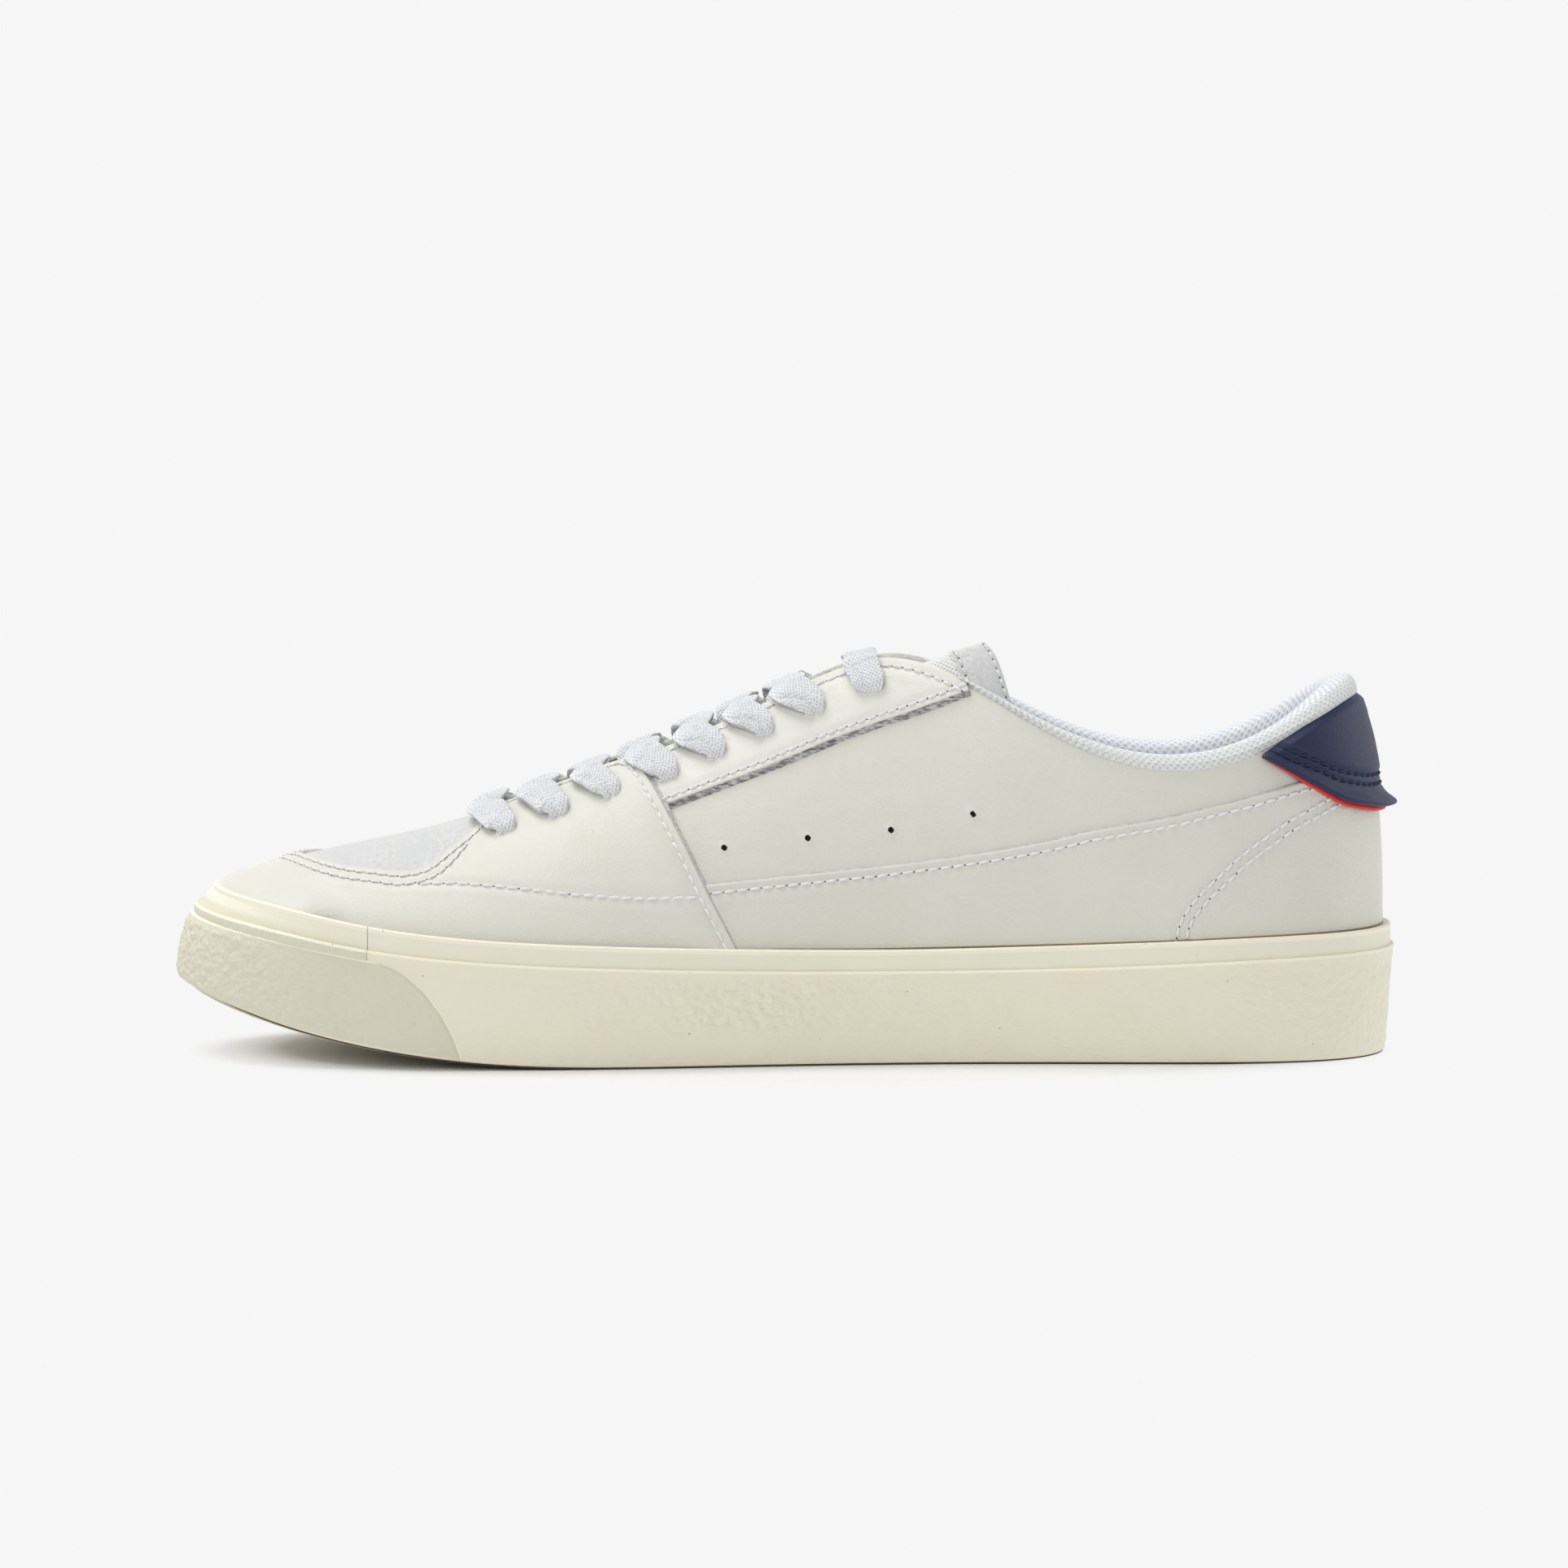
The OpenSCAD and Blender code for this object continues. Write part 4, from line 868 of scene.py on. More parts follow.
# ---- the sole ----
def band_rings(ts, corners, subs):
    """Grid (around, up, 3) through corners. A corner is an offset from the outline, what the toe's lean adds,
    a height line, the height over it and, where given, what the heel adds to the offset."""
    rim = outline(ts, 0.0)
    nominal = cad_x(rim[:, 0])
    lean = toe_lean(nominal)
    at_heel = smooth_step(112, 142, nominal)
    rings = []
    for c in corners:
        offset = c[0] + c[1] * lean + (c[4] * at_heel if len(c) > 4 else 0)
        z = line_z(c[2], rim[:, 0]) + c[3]
        rings.append(np.concatenate([outline(ts, -offset), z[:, None]], 1))
    made = []
    for a, b, n in zip(rings, rings[1:], subs):
        made += [a + (b - a) * j / n for j in range(n)]
    return np.stack(made + [rings[-1]], 1)


def pebbled(grid, ts, strength):
    """Small lumps pushed out of the wall. strength gives mm by place (x, share of height)."""
    made = grid.copy()
    out = outward_at(ts)
    cols = grid.shape[1]
    for i in range(len(grid)):
        for j in range(cols):
            p = grid[i, j]
            amount = strength(p[0], j / (cols - 1), out[i, 1])
            if amount > 0.004:
                h = 0.5 - noise.voronoi((p[0] * 0.45, p[1] * 0.45, p[2] * 0.56))[0][0]
                h += 0.4 * noise.noise((p[0] * 0.9 + 9, p[1] * 0.9, p[2] * 1.3))
                made[i, j, :2] += out[i] * amount * h
    return made


def band(name, ts, outer, subs, inner, inner_subs, mat, nodes, strength=None, closed=False, rim=None):
    """A rubber band; its last two rows below the top edge take the rim material, whose lighter colour paints
    the highlight on that edge.
    """
    rings = band_rings(ts, outer, subs)
    if strength:
        rings = pebbled(rings, ts, strength)
    back = band_rings(ts, inner, inner_subs)
    ring = np.concatenate([rings, back[:, ::-1]], 1)
    rows, cols = ring.shape[:2]
    faces = grid_faces(rows, cols, 0, True, True) if closed else tube_faces(rows, cols)
    points = ring.reshape(-1, 3)
    front = rings.shape[1]
    top_rows = {front - 3, front - 2, front - 1}
    kinds = [int(rim is not None and len(f) == 4 and {x % cols for x in f} <= top_rows) for f in faces]
    obj = new_mesh(name, points, outward(points, faces), [mat, rim or mat], kinds)
    crisp(obj, RUBBER_CREASE)
    finish_piece(obj, nodes)


def finish_piece(obj, nodes=()):
    if nodes:
        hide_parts(*nodes)


def waist(x, share, out_y):
    """The wall is rough at the heel and the waist, and nearly smooth between."""
    edge = smooth_step(0.0, 0.12, share) * (1 - smooth_step(0.86, 0.95, share))
    heel = smooth_step(105, 140, x)
    middle = math.exp(-(((x + 10) / 26) ** 2)) * (1 if out_y < 0 else 0.7) * smooth_step(0.25, 0.5, share)
    return float(edge * (0.09 + 0.4 * heel + 1.0 * middle))


ALL_ROUND = np.linspace(0, LOOP_N, 1500, endpoint=False)
band(
    "foxing_lower", ALL_ROUND,
    [
        (-2.6, 0, GROUND_LINE, 0.5), (-2.4, 0, GROUND_LINE, 0.7), (-1.9, 0, GROUND_LINE, 7),
        (-0.9, -3.6, FOXING_LINE, -4),
        (-0.35, -4.95, FOXING_LINE, -0.6), (-0.2, -5, FOXING_LINE, -0.3), (-0.5, -5.1, FOXING_LINE, 0.12),
    ],
    (1, 12, 26, 5, 1, 1),
    [(-4.2, 0, GROUND_LINE, 0.5), (-4.2, 0, FEATHER_LINE, 0.2), (-3.2, -5.8, FOXING_LINE, 0.1)], (2, 2),
    WALL, ["foxing_lower"], waist, closed=True, rim=RUBBER_RIM_HIGHLIGHT,
)
# Where on the outline the two tapes meet, and the hair of a gap there
TOE_JOIN, JOIN_GAP = 3.25, 0.006
TAPE_OUT = [
    (-1.2, -5.3, FOXING_LINE, -0.2), (-1.1, -6, FOXING_LINE, 2), (-1.25, -8, TAPE_LINE, -1.2),
    (-1.1, -8.1, TAPE_LINE, -0.3), (-1.5, -8.3, TAPE_LINE, 0.12),
]
TAPE_IN = [
    (-3.2, -5, FOXING_LINE, -0.2, 0.3), (-3.6, -8.2, TAPE_LINE, -1.4, 0.3),
    (-3.7, -8.6, TAPE_LINE, -0.2, 0.3),
]


def smooth_wall(x, share, out_y):
    """The tape is all but smooth."""
    return 0.025


for name, t0, t1, count in (
    ("foxing_tape_rear", TOE_JOIN + JOIN_GAP, LOOP_N - TOE_JOIN - JOIN_GAP, 620),
    ("foxing_tape_toe", -TOE_JOIN, TOE_JOIN, 300),
):
    band(
        name, np.linspace(t0, t1, count), TAPE_OUT, (3, 6, 1, 1), TAPE_IN, (2, 1), TAPE, [name],
        smooth_wall, rim=RUBBER_RIM_HIGHLIGHT,
    )


def ribs(x, share, out_y):
    """The strip is rough up to its rim."""
    return float(0.26 * (1 - smooth_step(0.7, 0.9, share)))


band(
    "toe_strip", np.linspace(-TOE_JOIN, TOE_JOIN, 420),
    [(0.0, -4.3, FOXING_LINE, -2.4), (0.2, -4.5, FOXING_LINE, -1.2), (0.2, -4.7, FOXING_LINE, -0.25),
     (-0.1, -4.9, FOXING_LINE, 0.2)],
    (3, 4, 1),
    [(-1.2, -4.5, FOXING_LINE, -2.4), (-1.4, -5.2, FOXING_LINE, 0.15)], (1,), BUMPER, ["toe_strip"],
    ribs,
    rim=RUBBER_RIM_HIGHLIGHT,
)


BUMPER_THICK = 1.3


def toe_bumper():
    """The bumper's ends curve down to the ground; there it lies thin on the wall behind."""
    heights = [
        (0.65, -0.6, 0), (0.85, -0.2, 0), (4.0, 0.0, 0), (10.0, 0.0, -0.5), (15.5, 0.0, -1.4),
        (20.5, 0.0, -2.4),
        (22.6, -0.1, -3.4), (23.2, -0.6, -3.8),
    ]
    around = np.linspace(-1, 1, 520)
    rows = []
    levels = []
    for (z0, a0, l0), (z1, a1, l1), n in zip(heights, heights[1:], (1, 6, 11, 10, 9, 3, 2)):
        levels += [(z0 + (z1 - z0) * j / n, a0 + (a1 - a0) * j / n, l0 + (l1 - l0) * j / n) for j in range(n)]
    levels.append(heights[-1])
    top_level = heights[-1][0]
    cap = [(0.0, 0.78), (0.25, 0.71), (0.5, 0.6), (0.72, 0.46), (0.88, 0.3), (0.96, 0.14), (1.0, 0.0)]
    for level, a, l in levels:
        share = level / top_level
        reach = 3.3 + float(np.interp(share, [c[0] for c in cap], [c[1] for c in cap]))
        ts = around * reach
        rim = outline(ts, 0.0)
        lean = toe_lean(cad_x(rim[:, 0]))
        low = line_z(GROUND_LINE, rim[:, 0])
        high = line_z(FOXING_LINE, rim[:, 0]) - 2.2
        z = low + 0.6 + (high - low - 0.6) * share
        wall = np.interp(share, [0, 0.3, 0.85, 1.0], [-2.4, -1.9, -1.0, -0.6]) + 0.55
        back = smooth_step(2.0, 3.35, np.abs(ts))
        front = a + l * lean
        end = 1 - smooth_step(reach - 0.05, reach, np.abs(ts))
        offset = front * (1 - back) + (wall + l * lean * 0.9) * back - (1 - end) * 0.5
        if share > 0.9:
            offset = offset - 0.2 * back
        rows.append(np.concatenate([outline(ts, -offset), z[:, None]], 1))
    grid = np.stack(rows, 1)
    ts = around * 3.7

    def lumps(x, share, out_y):
        edge = smooth_step(0.0, 0.06, share) * (1 - smooth_step(0.9, 0.99, share))
        return float(edge * (0.2 + 0.6 * smooth_step(-100, -148, x)))

    grid = pebbled(grid, ts, lumps)
    back = grid.copy()
    back[..., :2] -= outward_at(ts)[:, None, :] * BUMPER_THICK
    obj = closed_sheet("toe_bumper", grid, back, [BUMPER, RUBBER_RIM_HIGHLIGHT])
    # The bumper's top rows and its ends take the lighter rim rubber: a painted highlight on those edges
    kinds = np.zeros(len(obj.data.polygons), np.int32)
    obj.data.polygons.foreach_get("material_index", kinds)
    top_rows = {grid.shape[1] - 3, grid.shape[1] - 2, grid.shape[1] - 1}
    end_columns = {0, 1, len(around) - 2, len(around) - 1}
    for i, f in enumerate(obj.data.polygons):
        levels_of = {x % grid.shape[1] for x in f.vertices}
        columns_of = {x // grid.shape[1] % len(around) for x in f.vertices}
        if levels_of <= top_rows or columns_of <= end_columns:
            kinds[i] = 1
    obj.data.polygons.foreach_set("material_index", kinds)
    crisp(obj, RUBBER_CREASE)
    finish_piece(obj, ["toe_bumper"])


toe_bumper()
# The outsole's edge, a thin strip at the ground, painted dark brown as the contact shadow
band(
    "outsole_edge_shade", ALL_ROUND[::3],
    [(-3.15, 0, GROUND_LINE, 0.02), (-2.75, 0, GROUND_LINE, 0.1), (-2.7, 0, GROUND_LINE, 0.62)], (1, 1),
    [(-4.4, 0, GROUND_LINE, 0.02), (-4.4, 0, GROUND_LINE, 0.62)], (1,), SOLE_CONTACT_SHADE, [],
    closed=True,
)
# ---- panels of the upper ----
FRONT_LOW = [
    (6.55, 0.06), (5.9, 0.08), (5.3, 0.1), (4.75, 0.12), (4.35, 0.14), (4.05, 0.155), (3.8, 0.17),
    (3.5, 0.19),
    (3.15, 0.215), (2.75, 0.26), (2.3, 0.3), (1.8, 0.35), (1.1, 0.5), (0.45, 1.0),
]
FRONT_HIGH = [(5.52, 0.835), (5.1, 0.868), (4.65, 0.908), (4.24, 0.918)] + SUEDE_EDGE[1:]
front_kv = patch(
    FRONT_LOW, FRONT_HIGH, [FRONT_LOW[0]] + SEAM, [(0.45, 1), SUEDE_EDGE[-1]], spaced(185, 0.9),
    spaced(48, 0.9),
)


def front_under(k, v):
    """The underside lifts only where the eyestay lies under it."""
    return OVERLAY_LO + 1.15 * front_lift(k, v) * smooth_step(0.5, 0.57, v)


front = panel(
    "front_overlay", front_kv, (MEDIAL, LATERAL), front_top, front_under, [WHITE, EDGE], "front",
    edges=(True, False, True, True), skirts=(1.3, 0, 0, 0.2),
)
finish_piece(front, ["front_overlay"])

SUEDE_LOW = [
    (4.32, 0.8), (4.2, 0.62), (4.02, 0.53), (3.85, 0.46), (3.6, 0.43), (3.3, 0.45), (2.9, 0.5), (2.5, 0.58),
    (2.1, 0.7), (1.8, 0.85), (1.7, 0.93),
]
suede_kv = patch(
    SUEDE_LOW, [(4.32, 1), (3, 1), (1.7, 1)], [SUEDE_LOW[0], (4.32, 1)], [SUEDE_LOW[-1], (1.7, 1)],
    spaced(70, 0.9), spaced(30, 0.9),
).transpose(1, 0, 2)
suede_panel = panel("suede_toe_panel", suede_kv, (MEDIAL, LATERAL), 3.0, 1.6, [SUEDE, SUEDE], wave=0.12,
                    edges=(True, False, True, True))
finish_piece(suede_panel, ["suede_toe_panel"])

QUARTER_LOW = [
    (6.3, 0.08), (7.3, 0.065), (8.6, 0.075), (10.2, 0.12), (11.8, 0.165), (13, 0.16), (13.97, 0.16),
]
QUARTER_HIGH = [
    (5.4, 0.8), (6, 0.825), (6.6, 0.85), (7.2, 0.885), (7.8, 0.93), (8.35, 0.975), (9.1, 0.985), (9.6, 0.98),
    (10.5, 0.975), (11.5, 0.972), (12.4, 0.965), (13.2, 0.955), (13.97, 0.945),
]
quarter_kv = patch(
    QUARTER_LOW, QUARTER_HIGH, [QUARTER_LOW[0], QUARTER_HIGH[0]], [QUARTER_LOW[-1], QUARTER_HIGH[-1]],
    spaced(215, 1.05), spaced(50, 1.05),
)
PERFORATIONS = [(6.4, 0.398), (7.15, 0.396), (7.92, 0.409), (8.73, 0.468)]
HOLE_RADIUS, HOLE_DEPTH = 0.8, 1.0


def punch(obj, spots, radius, depth):
    """Real little holes through the face of a panel, whose deeper walls and floor are painted dark as the
    shade inside them.
    """
    obj.data.materials.append(PUNCH_HOLE_SHADE)
    bm = bmesh.new()
    bm.from_mesh(obj.data)
    bm.verts.ensure_lookup_table()
    face_side = bm.verts[: len(bm.verts) // 2]
    middles = []
    for k, v in spots:
        centre = Vector(skin(k, v, MEDIAL, BASE_HI))
        middles.append(min(face_side, key=lambda q: (q.co / MM - centre).length))
    for (k, v), middle in zip(spots, middles):
        n = Vector(base_normal(k, v, MEDIAL))
        ring = sorted(
            {w for f in middle.link_faces for w in f.verts if w is not middle}, key=lambda q: q.index,
        )
        a = n.orthogonal().normalized()
        b = n.cross(a)
        angle = {w: math.atan2((w.co - middle.co).dot(b), (w.co - middle.co).dot(a)) for w in ring}
        ring.sort(key=lambda w: angle[w])
        heart = middle.co.copy()
        bm.verts.remove(middle)
        levels = [ring]
        steps_down = ((1.45, 0.0), (1.2, -0.1), (1.0, -0.02), (0.92, 0.3), (0.86, depth))
        for r, down in steps_down:
            spots_r = [
                heart + (a * math.cos(angle[w]) + b * math.sin(angle[w])) * r * radius * MM - n * down * MM
                for w in ring
            ]
            if down == 0.0:
                for w, spot in zip(ring, spots_r):
                    w.co = spot
            else:
                levels.append([bm.verts.new(spot) for spot in spots_r])
        for level, (low, high) in enumerate(zip(levels, levels[1:])):
            for i in range(len(ring)):
                j = (i + 1) % len(ring)
                face = bm.faces.new((low[i], low[j], high[j], high[i]))
                face.material_index = 2 if level > 1 else 0
                face.smooth = True
        floor = bm.faces.new(levels[-1])
        floor.material_index = 2
    bm.normal_update()
    bmesh.ops.recalc_face_normals(bm, faces=bm.faces)
    bm.to_mesh(obj.data)
    bm.free()


for side, name in pair("quarter"):
    quarter = panel(name, quarter_kv, (side,), BASE_HI, BASE_LO, [WHITE, EDGE], wave=0.14)
    if side == MEDIAL:
        punch(quarter, PERFORATIONS, HOLE_RADIUS, HOLE_DEPTH)
    finish_piece(quarter, [name])

# The eyestay starts under the front panel, a little before its visible edges do
STAY_START = [(5.7, 0.562), (5.42, 0.838)]
eyestay_kv = patch(
    STAY_START[:1] + EYESTAY_EDGE[1:], STAY_START[1:] + THROAT_EDGE[1:], STAY_START,
    [EYESTAY_EDGE[-1], THROAT_EDGE[-1]], spaced(90, 0.85), spaced(17, 0.85),
)
for side, name in pair("eyestay"):
    eyestay = panel(
        name, eyestay_kv, (side,), OVERLAY_HI, OVERLAY_LO - 0.5, [WHITE_STAY_LIT, EDGE_DARK_SHADED, EDGE], "eyestay",
        skirts=(0, 0, 1.3, 0.1),
    )
    # Only the lower edge keeps the darker, shaded copy of the raw edge; the other cut edges take the plain
    # one
    cols = eyestay_kv.shape[1]
    for f in eyestay.data.polygons:
        if f.material_index == 1 and all(x % cols for x in f.vertices):
            f.material_index = 2
    finish_piece(eyestay, [name])


def throat_facing(side, name):
    """The turned edge that closes the gap between the outer leather and the lining along the throat."""
    kv = through(THROAT_EDGE, np.linspace(0, 1, 120))
    profile = ((3.1, 0.012), (2.5, 0.004), (0.9, 0.002), (-0.5, 0.004), (-1.1, 0.012))
    front, back = [
        np.stack([skin(kv[:, 0], kv[:, 1] - down - thick, side, off) for off, down in profile], 1)
        for thick in (0.0, 0.022)
    ]
    finish_piece(closed_sheet(name, front, back, [WHITE]))


for side, name in pair("throat_facing"):
    throat_facing(side, name)

HEEL_LOW = [(6.45, 0.06), (7.8, 0.065), (9, 0.08), (10.2, 0.12), (11.4, 0.155), (12.6, 0.165), (14, 0.16)]
heel_kv = patch(HEEL_LOW, LOWER_EDGE, [HEEL_LOW[0], LOWER_EDGE[0]], [HEEL_LOW[-1], LOWER_EDGE[-1]],
                spaced(210, 1.0), spaced(30, 1.0))
heel = panel("heel_overlay", heel_kv, (MEDIAL, LATERAL), 3.7, 2.45, [WHITE_HEEL, EDGE], "heel",
             edges=(True, False, True, True), skirts=(0, 0, 0, 0.5))
finish_piece(heel, ["heel_overlay"])


def glue_and_shade_line():
    """A hair of brown where the leather meets the top of the tape, from the seam round the heel: partly glue,
    and partly painted shade of the crease there.
    """
    k = np.linspace(6.75, HEEL_K, 260)
    halves = []
    for side in (MEDIAL, LATERAL):
        low, high = np.full(k.shape, 0.0), np.full(k.shape, 0.6)
        for _ in range(24):
            v = (low + high) / 2
            p = skin(k, v, side, 3.7)
            under = p[:, 2] < line_z(TAPE_LINE, p[:, 0]) + 0.12
            low, high = np.where(under, v, low), np.where(under, high, v)
        halves.append((skin(k, v, side, 3.68), base_normal(k, v, side)))
    path, out = [joined(parts) for parts in zip(*halves)]
    from_end = np.minimum(np.arange(len(path)), np.arange(len(path))[::-1])[:, None]
    full = 0.15 + 0.85 * smooth_step(0, 55, from_end)
    rings = []
    for angle in np.linspace(0, 2 * math.pi, 8, endpoint=False):
        rings.append(path + (out * math.cos(angle) * 0.16 + np.array([0, 0, math.sin(angle) * 0.24])) * full)
    grid = np.stack(rings, 1)
    points = grid.reshape(-1, 3)
    faces = tube_faces(*grid.shape[:2])
    finish_piece(new_mesh("glue_and_shade_line", points, outward(points, faces), [GLUE_AND_SHADE]))


glue_and_shade_line()


# ---- stitches ----
STITCH_GAP = 0.16
STITCH_SINK, STITCH_RISE = 0.16, 0.46


class Stitching:
    """All the stitches and needle holes of one group, gathered into one mesh."""

    def __init__(self, name, mat, hole_mat, radius=0.4):
        self.name, self.mats, self.radius = name, [mat, hole_mat], radius
        self.points, self.faces, self.kinds, self.uvs, self.count = [], [], [], [], 0

    def add(self, points, faces, kind, uvs=None):
        self.points.append(points)
        self.uvs.append(np.zeros((len(points), 2)) if uvs is None else uvs)
        self.faces += [tuple(x + self.count for x in f) for f in faces]
        self.kinds += [kind] * len(faces)
        self.count += len(points)

    def row(self, path, normals, pitch, slant=0.12, holes=True):
        """Stitches along a path on the surface, each sunk at its two ends."""
        run = run_of(path)
        number = max(1, int(round(run[-1] / pitch)))
        pitch = run[-1] / number

        def at(s):
            p = np.array([np.interp(s, run, path[:, i]) for i in range(3)])
            n = np.array([np.interp(s, run, normals[:, i]) for i in range(3)])
            return p, n / np.linalg.norm(n)

        sides, rings = 7, 8
        for index in range(number):
            s0, s1 = index * pitch + STITCH_GAP, (index + 1) * pitch - STITCH_GAP
            a, b = at(s0)[0], at(s1)[0]
            p, n = at((s0 + s1) / 2)
            d = (b - a) / np.linalg.norm(b - a)
            side = np.cross(n, d)
            turn = slant + dice.uniform(-0.05, 0.05)
            lift = dice.uniform(0.9, 1.15)
            made, uv = [], []
            for j in range(rings):
                f = j / (rings - 1)
                c, cn = at(s0 + (s1 - s0) * f)
                arch = math.sin(math.pi * f)
                c = c + cn * (-STITCH_SINK + STITCH_RISE * lift * arch**0.6)
                c = c + side * turn * (f - 0.5) * pitch * 0.5
                r = self.radius * (0.55 + 0.45 * arch**0.5)
                for q in range(sides):
                    w = 2 * math.pi * q / sides
                    made.append(c + side * math.cos(w) * r + cn * math.sin(w) * r * 0.85)
                    uv.append((f * pitch + index * 0.37, q * 0.35))
            self.add(np.array(made), outward(np.array(made), tube_faces(rings, sides)), 0, np.array(uv))
        if not holes:
            return
        # Each needle hole is a small sunk ring in the hole material; in the white rows it is dark, a painted
        # shade inside the hole
        for index in range(number + 1):
            c, n = at(min(max(index * pitch, 0.02), run[-1] - 0.02))
            ahead = at(min(index * pitch + 0.3, run[-1]))[0] - at(max(index * pitch - 0.3, 0))[0]
            d = ahead / (np.linalg.norm(ahead) + 1e-9)
            side = np.cross(n, d)
            long, wide = dice.uniform(0.36, 0.52), dice.uniform(0.22, 0.32)
            made = np.array([
                c + (d * math.cos(w) * long + side * math.sin(w) * wide) * size + n * rise
                for size, rise in ((1.0, -0.25), (0.8, 0.05)) for w in np.linspace(0, 5.5, 8)
            ])
            self.add(made, outward(made, tube_faces(2, 8)), 1)

    def build(self, body="shoe"):
        points, uvs = np.vstack(self.points), np.vstack(self.uvs)
        finish_piece(new_mesh(self.name, points, self.faces, self.mats, self.kinds, body, uvs))


def surface_row(stitching, kv, side, off, pitch, group):
    """A row on a panel, at the height that the leather has there."""
    k, v = kv[:, 0], kv[:, 1]
    p, n = base_point(k, v, side), base_normal(k, v, side)
    height = (off(k, v) if callable(off) else off) + relief(p, group)
    stitching.row(p + height[:, None] * n, n, pitch)


for group in ("front", "eyestay", "heel"):
    stitching = Stitching("stitches_" + group, THREAD, NEEDLE_HOLE_SHADE)
    for name, kv, side, off, pitch in PATHS:
        if name == group:
            surface_row(stitching, kv, side, front_top if group == "front" else off, pitch, group)
    stitching.build()


# ---- collar: the padded knit roll and the lining inside ----
def collar_profiles(k):
    """Corners (offset, rise over the crest) of the roll's outside and of its inside. Cover is how far the
    knit reaches down the outside of the shoe, and d grows from the throat to the full padding."""
    cover = 0.5 + 1.3 * smooth_step(9.2, 11, k) + 2.0 * smooth_step(12.2, 14, k)
    d = blend_to(0.35, 1.0, smooth_step(8.95, 10.4, k))
    one = np.ones_like(k)
    outer = [
        (1.6 * one, -cover - 4), (2.3 * one, -cover - 0.5), (2.75 * one, -cover + 0.05),
        (3.35 * one, -cover + 1.2),
        (3.3 * one, -0.4 * one), (2.1 * one, 1.4 * one), (-0.6 - 0.7 * d, 2.1 * one),
        (-1.4 - 3.2 * d, 1.0 * one),
        (-1.4 - 5.0 * d, -3 * d), (-1.4 - 5.5 * d, -9 * d), (-1.2 - 4.3 * d, -15.5 * d),
        (-1.2 - 1.8 * d, -21.5 * d),
    ]
    inner = [
        (-0.2 - 1.2 * d, -21 * d), (-0.3 - 3.4 * d, -15 * d), (-0.3 - 4.4 * d, -9 * d),
        (-0.4 - 3.6 * d, -3.2 * d),
        (-0.4 - 1.9 * d, 0.2 * one), (0.4 * one, 0.6 * one), (1.6 * one, -0.9 * one),
        (1.7 * one, -cover + 1.2),
        (0.6 * one, -cover - 0.5), (0.3 * one, -cover - 4),
    ]
    return outer, inner


def collar_points(k, side, corners):
    top, below = base_point(k, 1, side), base_point(k, 0.97, side)
    up = (top - below) / np.linalg.norm(top - below, axis=-1, keepdims=True)
    reach = np.linalg.norm(top - base_point(k, 0.55, side), axis=-1) / 0.45
    made = []
    for off, rise in corners:
        v = 1 + np.minimum(rise, 0) / reach
        made.append(skin(k, v, side, off) + np.maximum(rise, 0)[:, None] * up)
    return np.stack(made, 1)


def along_rows(points, count):
    """Each row's open profile resampled smoothly to count points."""
    return np.moveaxis(through(np.moveaxis(points, 1, 0), np.linspace(0, 1, count)), 0, 1)


# Points down the roll's outside, and the one where the binding knit changes to the mesh
FACE_POINTS, MESH_FROM = 56, 25


def make_collar():
    k = np.linspace(8.98, HEEL_K, 190)
    outer, inner = collar_profiles(k)
    halves = []
    for side in (MEDIAL, LATERAL):
        face = along_rows(collar_points(k, side, outer), FACE_POINTS)
        back = along_rows(collar_points(k, side, inner), 18)
        halves.append(np.concatenate([face, back], 1))
    grid = joined(halves)
    rows, cols = grid.shape[:2]
    for i in range(rows):
        for j in range(3, FACE_POINTS):
            p = grid[i, j]
            swell = 0.16 * noise.noise((p[0] * 0.09, p[1] * 0.09, p[2] * 0.09 + 3))
            centre = grid[i, 6:50].mean(0)
            d = p - centre
            grid[i, j] = p + d / (np.linalg.norm(d) + 1e-9) * swell
    uv = grid_uv(grid)
    uv[..., 0] = uv[:, 6:7, 0]
    faces = tube_faces(rows, cols)
    points = grid.reshape(-1, 3)
    kinds = [int(MESH_FROM <= min(x % cols for x in f) < FACE_POINTS) for f in faces]
    obj = new_mesh(
        "collar_roll", points, outward(points, faces), [ROLL, MESH], kinds, "shoe", uv.reshape(-1, 2),
    )
    finish_piece(obj, ["collar_lining", "collar_foam"])


make_collar()


def lining_sheet(name, kv, sides):
    k, v = kv[..., 0], kv[..., 1]
    outer = joined([skin(k, v, side, LINING_HI) for side in sides])
    inner = joined([skin(k, v, side, LINING_LO) for side in sides])
    finish_piece(closed_sheet(name, outer, inner, [TEXTILE], "shoe", grid_uv(outer)), [name])


LINING_LOW = [(4.15, 0.03), (6.6, 0.03), (9, 0.03), (11.4, 0.03), (13.97, 0.03)]
LINING_HIGH = [
    (4.15, 0.91), (5.1, 0.85), (6, 0.82), (7, 0.86), (8, 0.925), (8.7, 0.87), (9.2, 0.79), (9.8, 0.68),
    (10.4, 0.61),
    (11.2, 0.6), (12, 0.62), (13, 0.66), (13.97, 0.68),
]
lining_kv = patch(LINING_LOW, LINING_HIGH, [LINING_LOW[0], LINING_HIGH[0]], [LINING_LOW[-1], LINING_HIGH[-1]],
                  np.linspace(0, 1, 110), np.linspace(0, 1, 28))
for side, name in pair("quarter_lining"):
    lining_sheet(name, lining_kv, (side,))
vamp_kv = patch(
    [(4.1, 0.03), (2.3, 0.03), (0.5, 0.03)], [(4.1, 1), (2.3, 1), (0.5, 1)], [(4.1, 0.03), (4.1, 1)],
    [(0.5, 0.03), (0.5, 1)], np.linspace(0, 1, 50), np.linspace(0, 1, 40),
).transpose(1, 0, 2)
